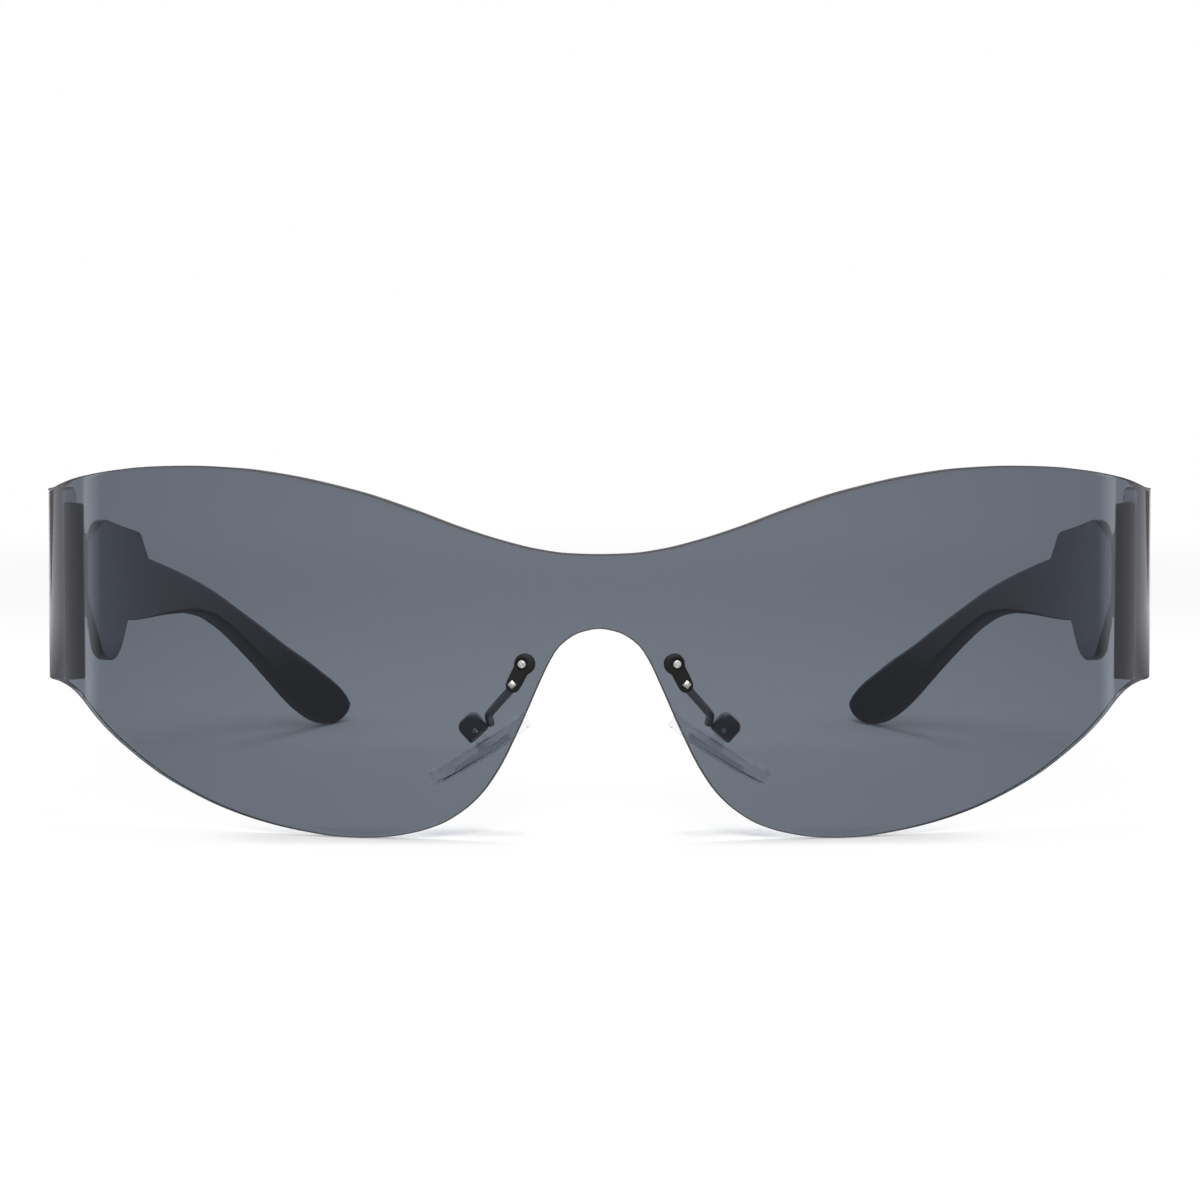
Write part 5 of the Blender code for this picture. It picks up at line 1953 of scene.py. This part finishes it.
    def shading_kept(self, graph: Graph, side: Value, y: Value, distance: Value) -> Value:
        """Share of its own shading, and so of the model's shadow, that the floor shows.

        Args:
            graph: the floor's graph.
            side: how far the place lies from the middle, to either side.
            y: how far back it lies.
            distance: how far it lies from the origin.

        Returns:
            The share.
        """
        kept = 1 - graph.smooth(distance, *self.floor_fade, self.floor_share, 1.0)
        ahead = 1 - graph.smooth(y, *self.clean_back)
        for cleaned in (graph.smooth(y, *self.clean_front) * ahead,
                        graph.smooth(side, *self.clean_side) * ahead,
                        1 - graph.smooth(y, *self.clean_before)):
            kept = kept * (1 - cleaned * self.clean_share)
        return kept

    def reflected(self, graph: Graph, side: Value, y: Value, distance: Value) -> bpy.types.NodeSocket:
        """Painted reflections: what polished surfaces see in the floor is painted emission, the lights round
        it, a painted screen, painted shade close behind the model and a painted bright patch.

        Args:
            graph: the floor's graph.
            side: how far the place lies from the middle, to either side.
            y: how far back it lies.
            distance: how far it lies from the origin.

        Returns:
            The shader.
        """
        corner = self.plan.at(self.plan.half_width, self.corner_depth, 0)
        angle = graph.math("ABSOLUTE", self.turn_from_front(graph, side - corner.x, y - corner.y))
        # painted reflection of a grey screen, in the floor behind each end of the lens
        painted_screen = graph.smooth(y - side * self.screen_slope, *self.screen_start)
        painted_screen = painted_screen * graph.smooth(side, *self.screen_side) * (1 - graph.smooth(angle, *self.screen_end))
        # painted shade in the floor's reflection close behind the model, where the lens's shadow falls
        near = (1 - graph.smooth(distance, *self.near)) * graph.smooth(y, *self.behind) * self.near_dim
        # painted bright patch in the floor's reflection, a painted glow that the temples' wings mirror
        off_line = side - y * self.patch_slope
        patch = (1 - graph.smooth(off_line, *self.patch_side)) * graph.smooth(y, *self.patch_start)
        painted_glow = graph.smooth(off_line, *self.patch_fade, *self.patch_light)
        room = self.surroundings(graph, angle) * (1 - near) * (1 - patch) + patch * painted_glow
        return graph.node("ShaderNodeEmission", None, {
            "Color": graph.blend(painted_screen, (*self.mirrored_tint, 1), (*self.screen_tint, 1)),
            "Strength": room * (1 - painted_screen) + painted_screen * self.screen_light}).outputs[0]

    @staticmethod
    def turn_from_front(graph: Graph, x: Value, y: Value) -> Value:
        """Angle of a direction from the camera's side, in degrees.

        Args:
            graph: the graph to add to.
            x: how far it goes sideways.
            y: how far it goes back.

        Returns:
            The angle.
        """
        return graph.math("ARCTAN2", x, 0 - y) * math.degrees(1)

    def surroundings(self, graph: Graph, angle: Value) -> Value:
        """Brightness that polished surfaces mirror, by its angle.

        Args:
            graph: the graph to add to.
            angle: the direction's angle from the camera's side, in degrees.

        Returns:
            The brightness.
        """
        rise = graph.smooth(angle, *self.strip_rise, self.dim_side, self.strip_light)
        fall = graph.smooth(angle, *self.strip_fall, 0.0, self.strip_light - self.side_light)
        return rise - fall + graph.smooth(angle, *self.side_rise, 0.0, self.back_light - self.side_light)

    def world(self) -> None:
        """Makes the soft white surroundings, in which polished surfaces see the lights."""
        world = bpy.data.worlds.new("studio")
        world.use_nodes = True
        bpy.context.scene.world = world
        graph = Graph(world.node_tree)
        glossy, through, soft = graph.named(
            graph.node("ShaderNodeLightPath"), ("Is Glossy Ray", "Is Transmission Ray", "Is Diffuse Ray"))
        x, y, _ = graph.split(graph.node("ShaderNodeTexCoord").outputs["Generated"])
        angle = self.turn_from_front(graph, graph.math("ABSOLUTE", x), y)
        mirror = glossy * (1 - through)
        strength = mirror * (self.surroundings(graph, angle) - 1.0) + soft * (self.soft_share - 1.0) + 1.0
        background = world.node_tree.nodes["Background"]
        graph.feed(background.inputs["Color"], graph.blend(mirror, (1, 1, 1, 1), (*self.mirrored_tint, 1)))
        graph.feed(background.inputs["Strength"], strength)

    @staticmethod
    def lamp(name: str, place: Point, side: float, power: float) -> None:
        """Adds a soft square lamp that points at the model.

        Args:
            name: its name.
            place: where it stands.
            side: how wide and high it is.
            power: its power in watts.
        """
        data = bpy.data.lights.new(name, "AREA")
        data.shape = "RECTANGLE"
        data.size = data.size_y = side
        data.energy = power
        lamp = bpy.data.objects.new(name, data)
        lamp.location = place
        lamp.rotation_euler = (-Vector(place)).to_track_quat("-Z", "Y").to_euler()
        bpy.context.scene.collection.objects.link(lamp)

    def build(self) -> None:
        """Makes the studio."""
        self.camera()
        self.floor()
        self.world()
        for lamp in self.lamps:
            self.lamp(*lamp)
        bpy.context.scene.view_settings.view_transform = "Standard"
        LOG.info("studio: floor, surroundings, lamps and camera")


def main() -> None:
    """Builds the studio and every piece of the model."""
    logging.basicConfig(level=logging.INFO, format="%(message)s")
    Studio().build()
    for assembly in (ShieldLens(), EndPiece(), Temple(), Fasteners(), PadMount(), NosePad()):
        assembly.build()
        LOG.info("%s done", type(assembly).__name__)


if __name__ == "__main__":
    main()
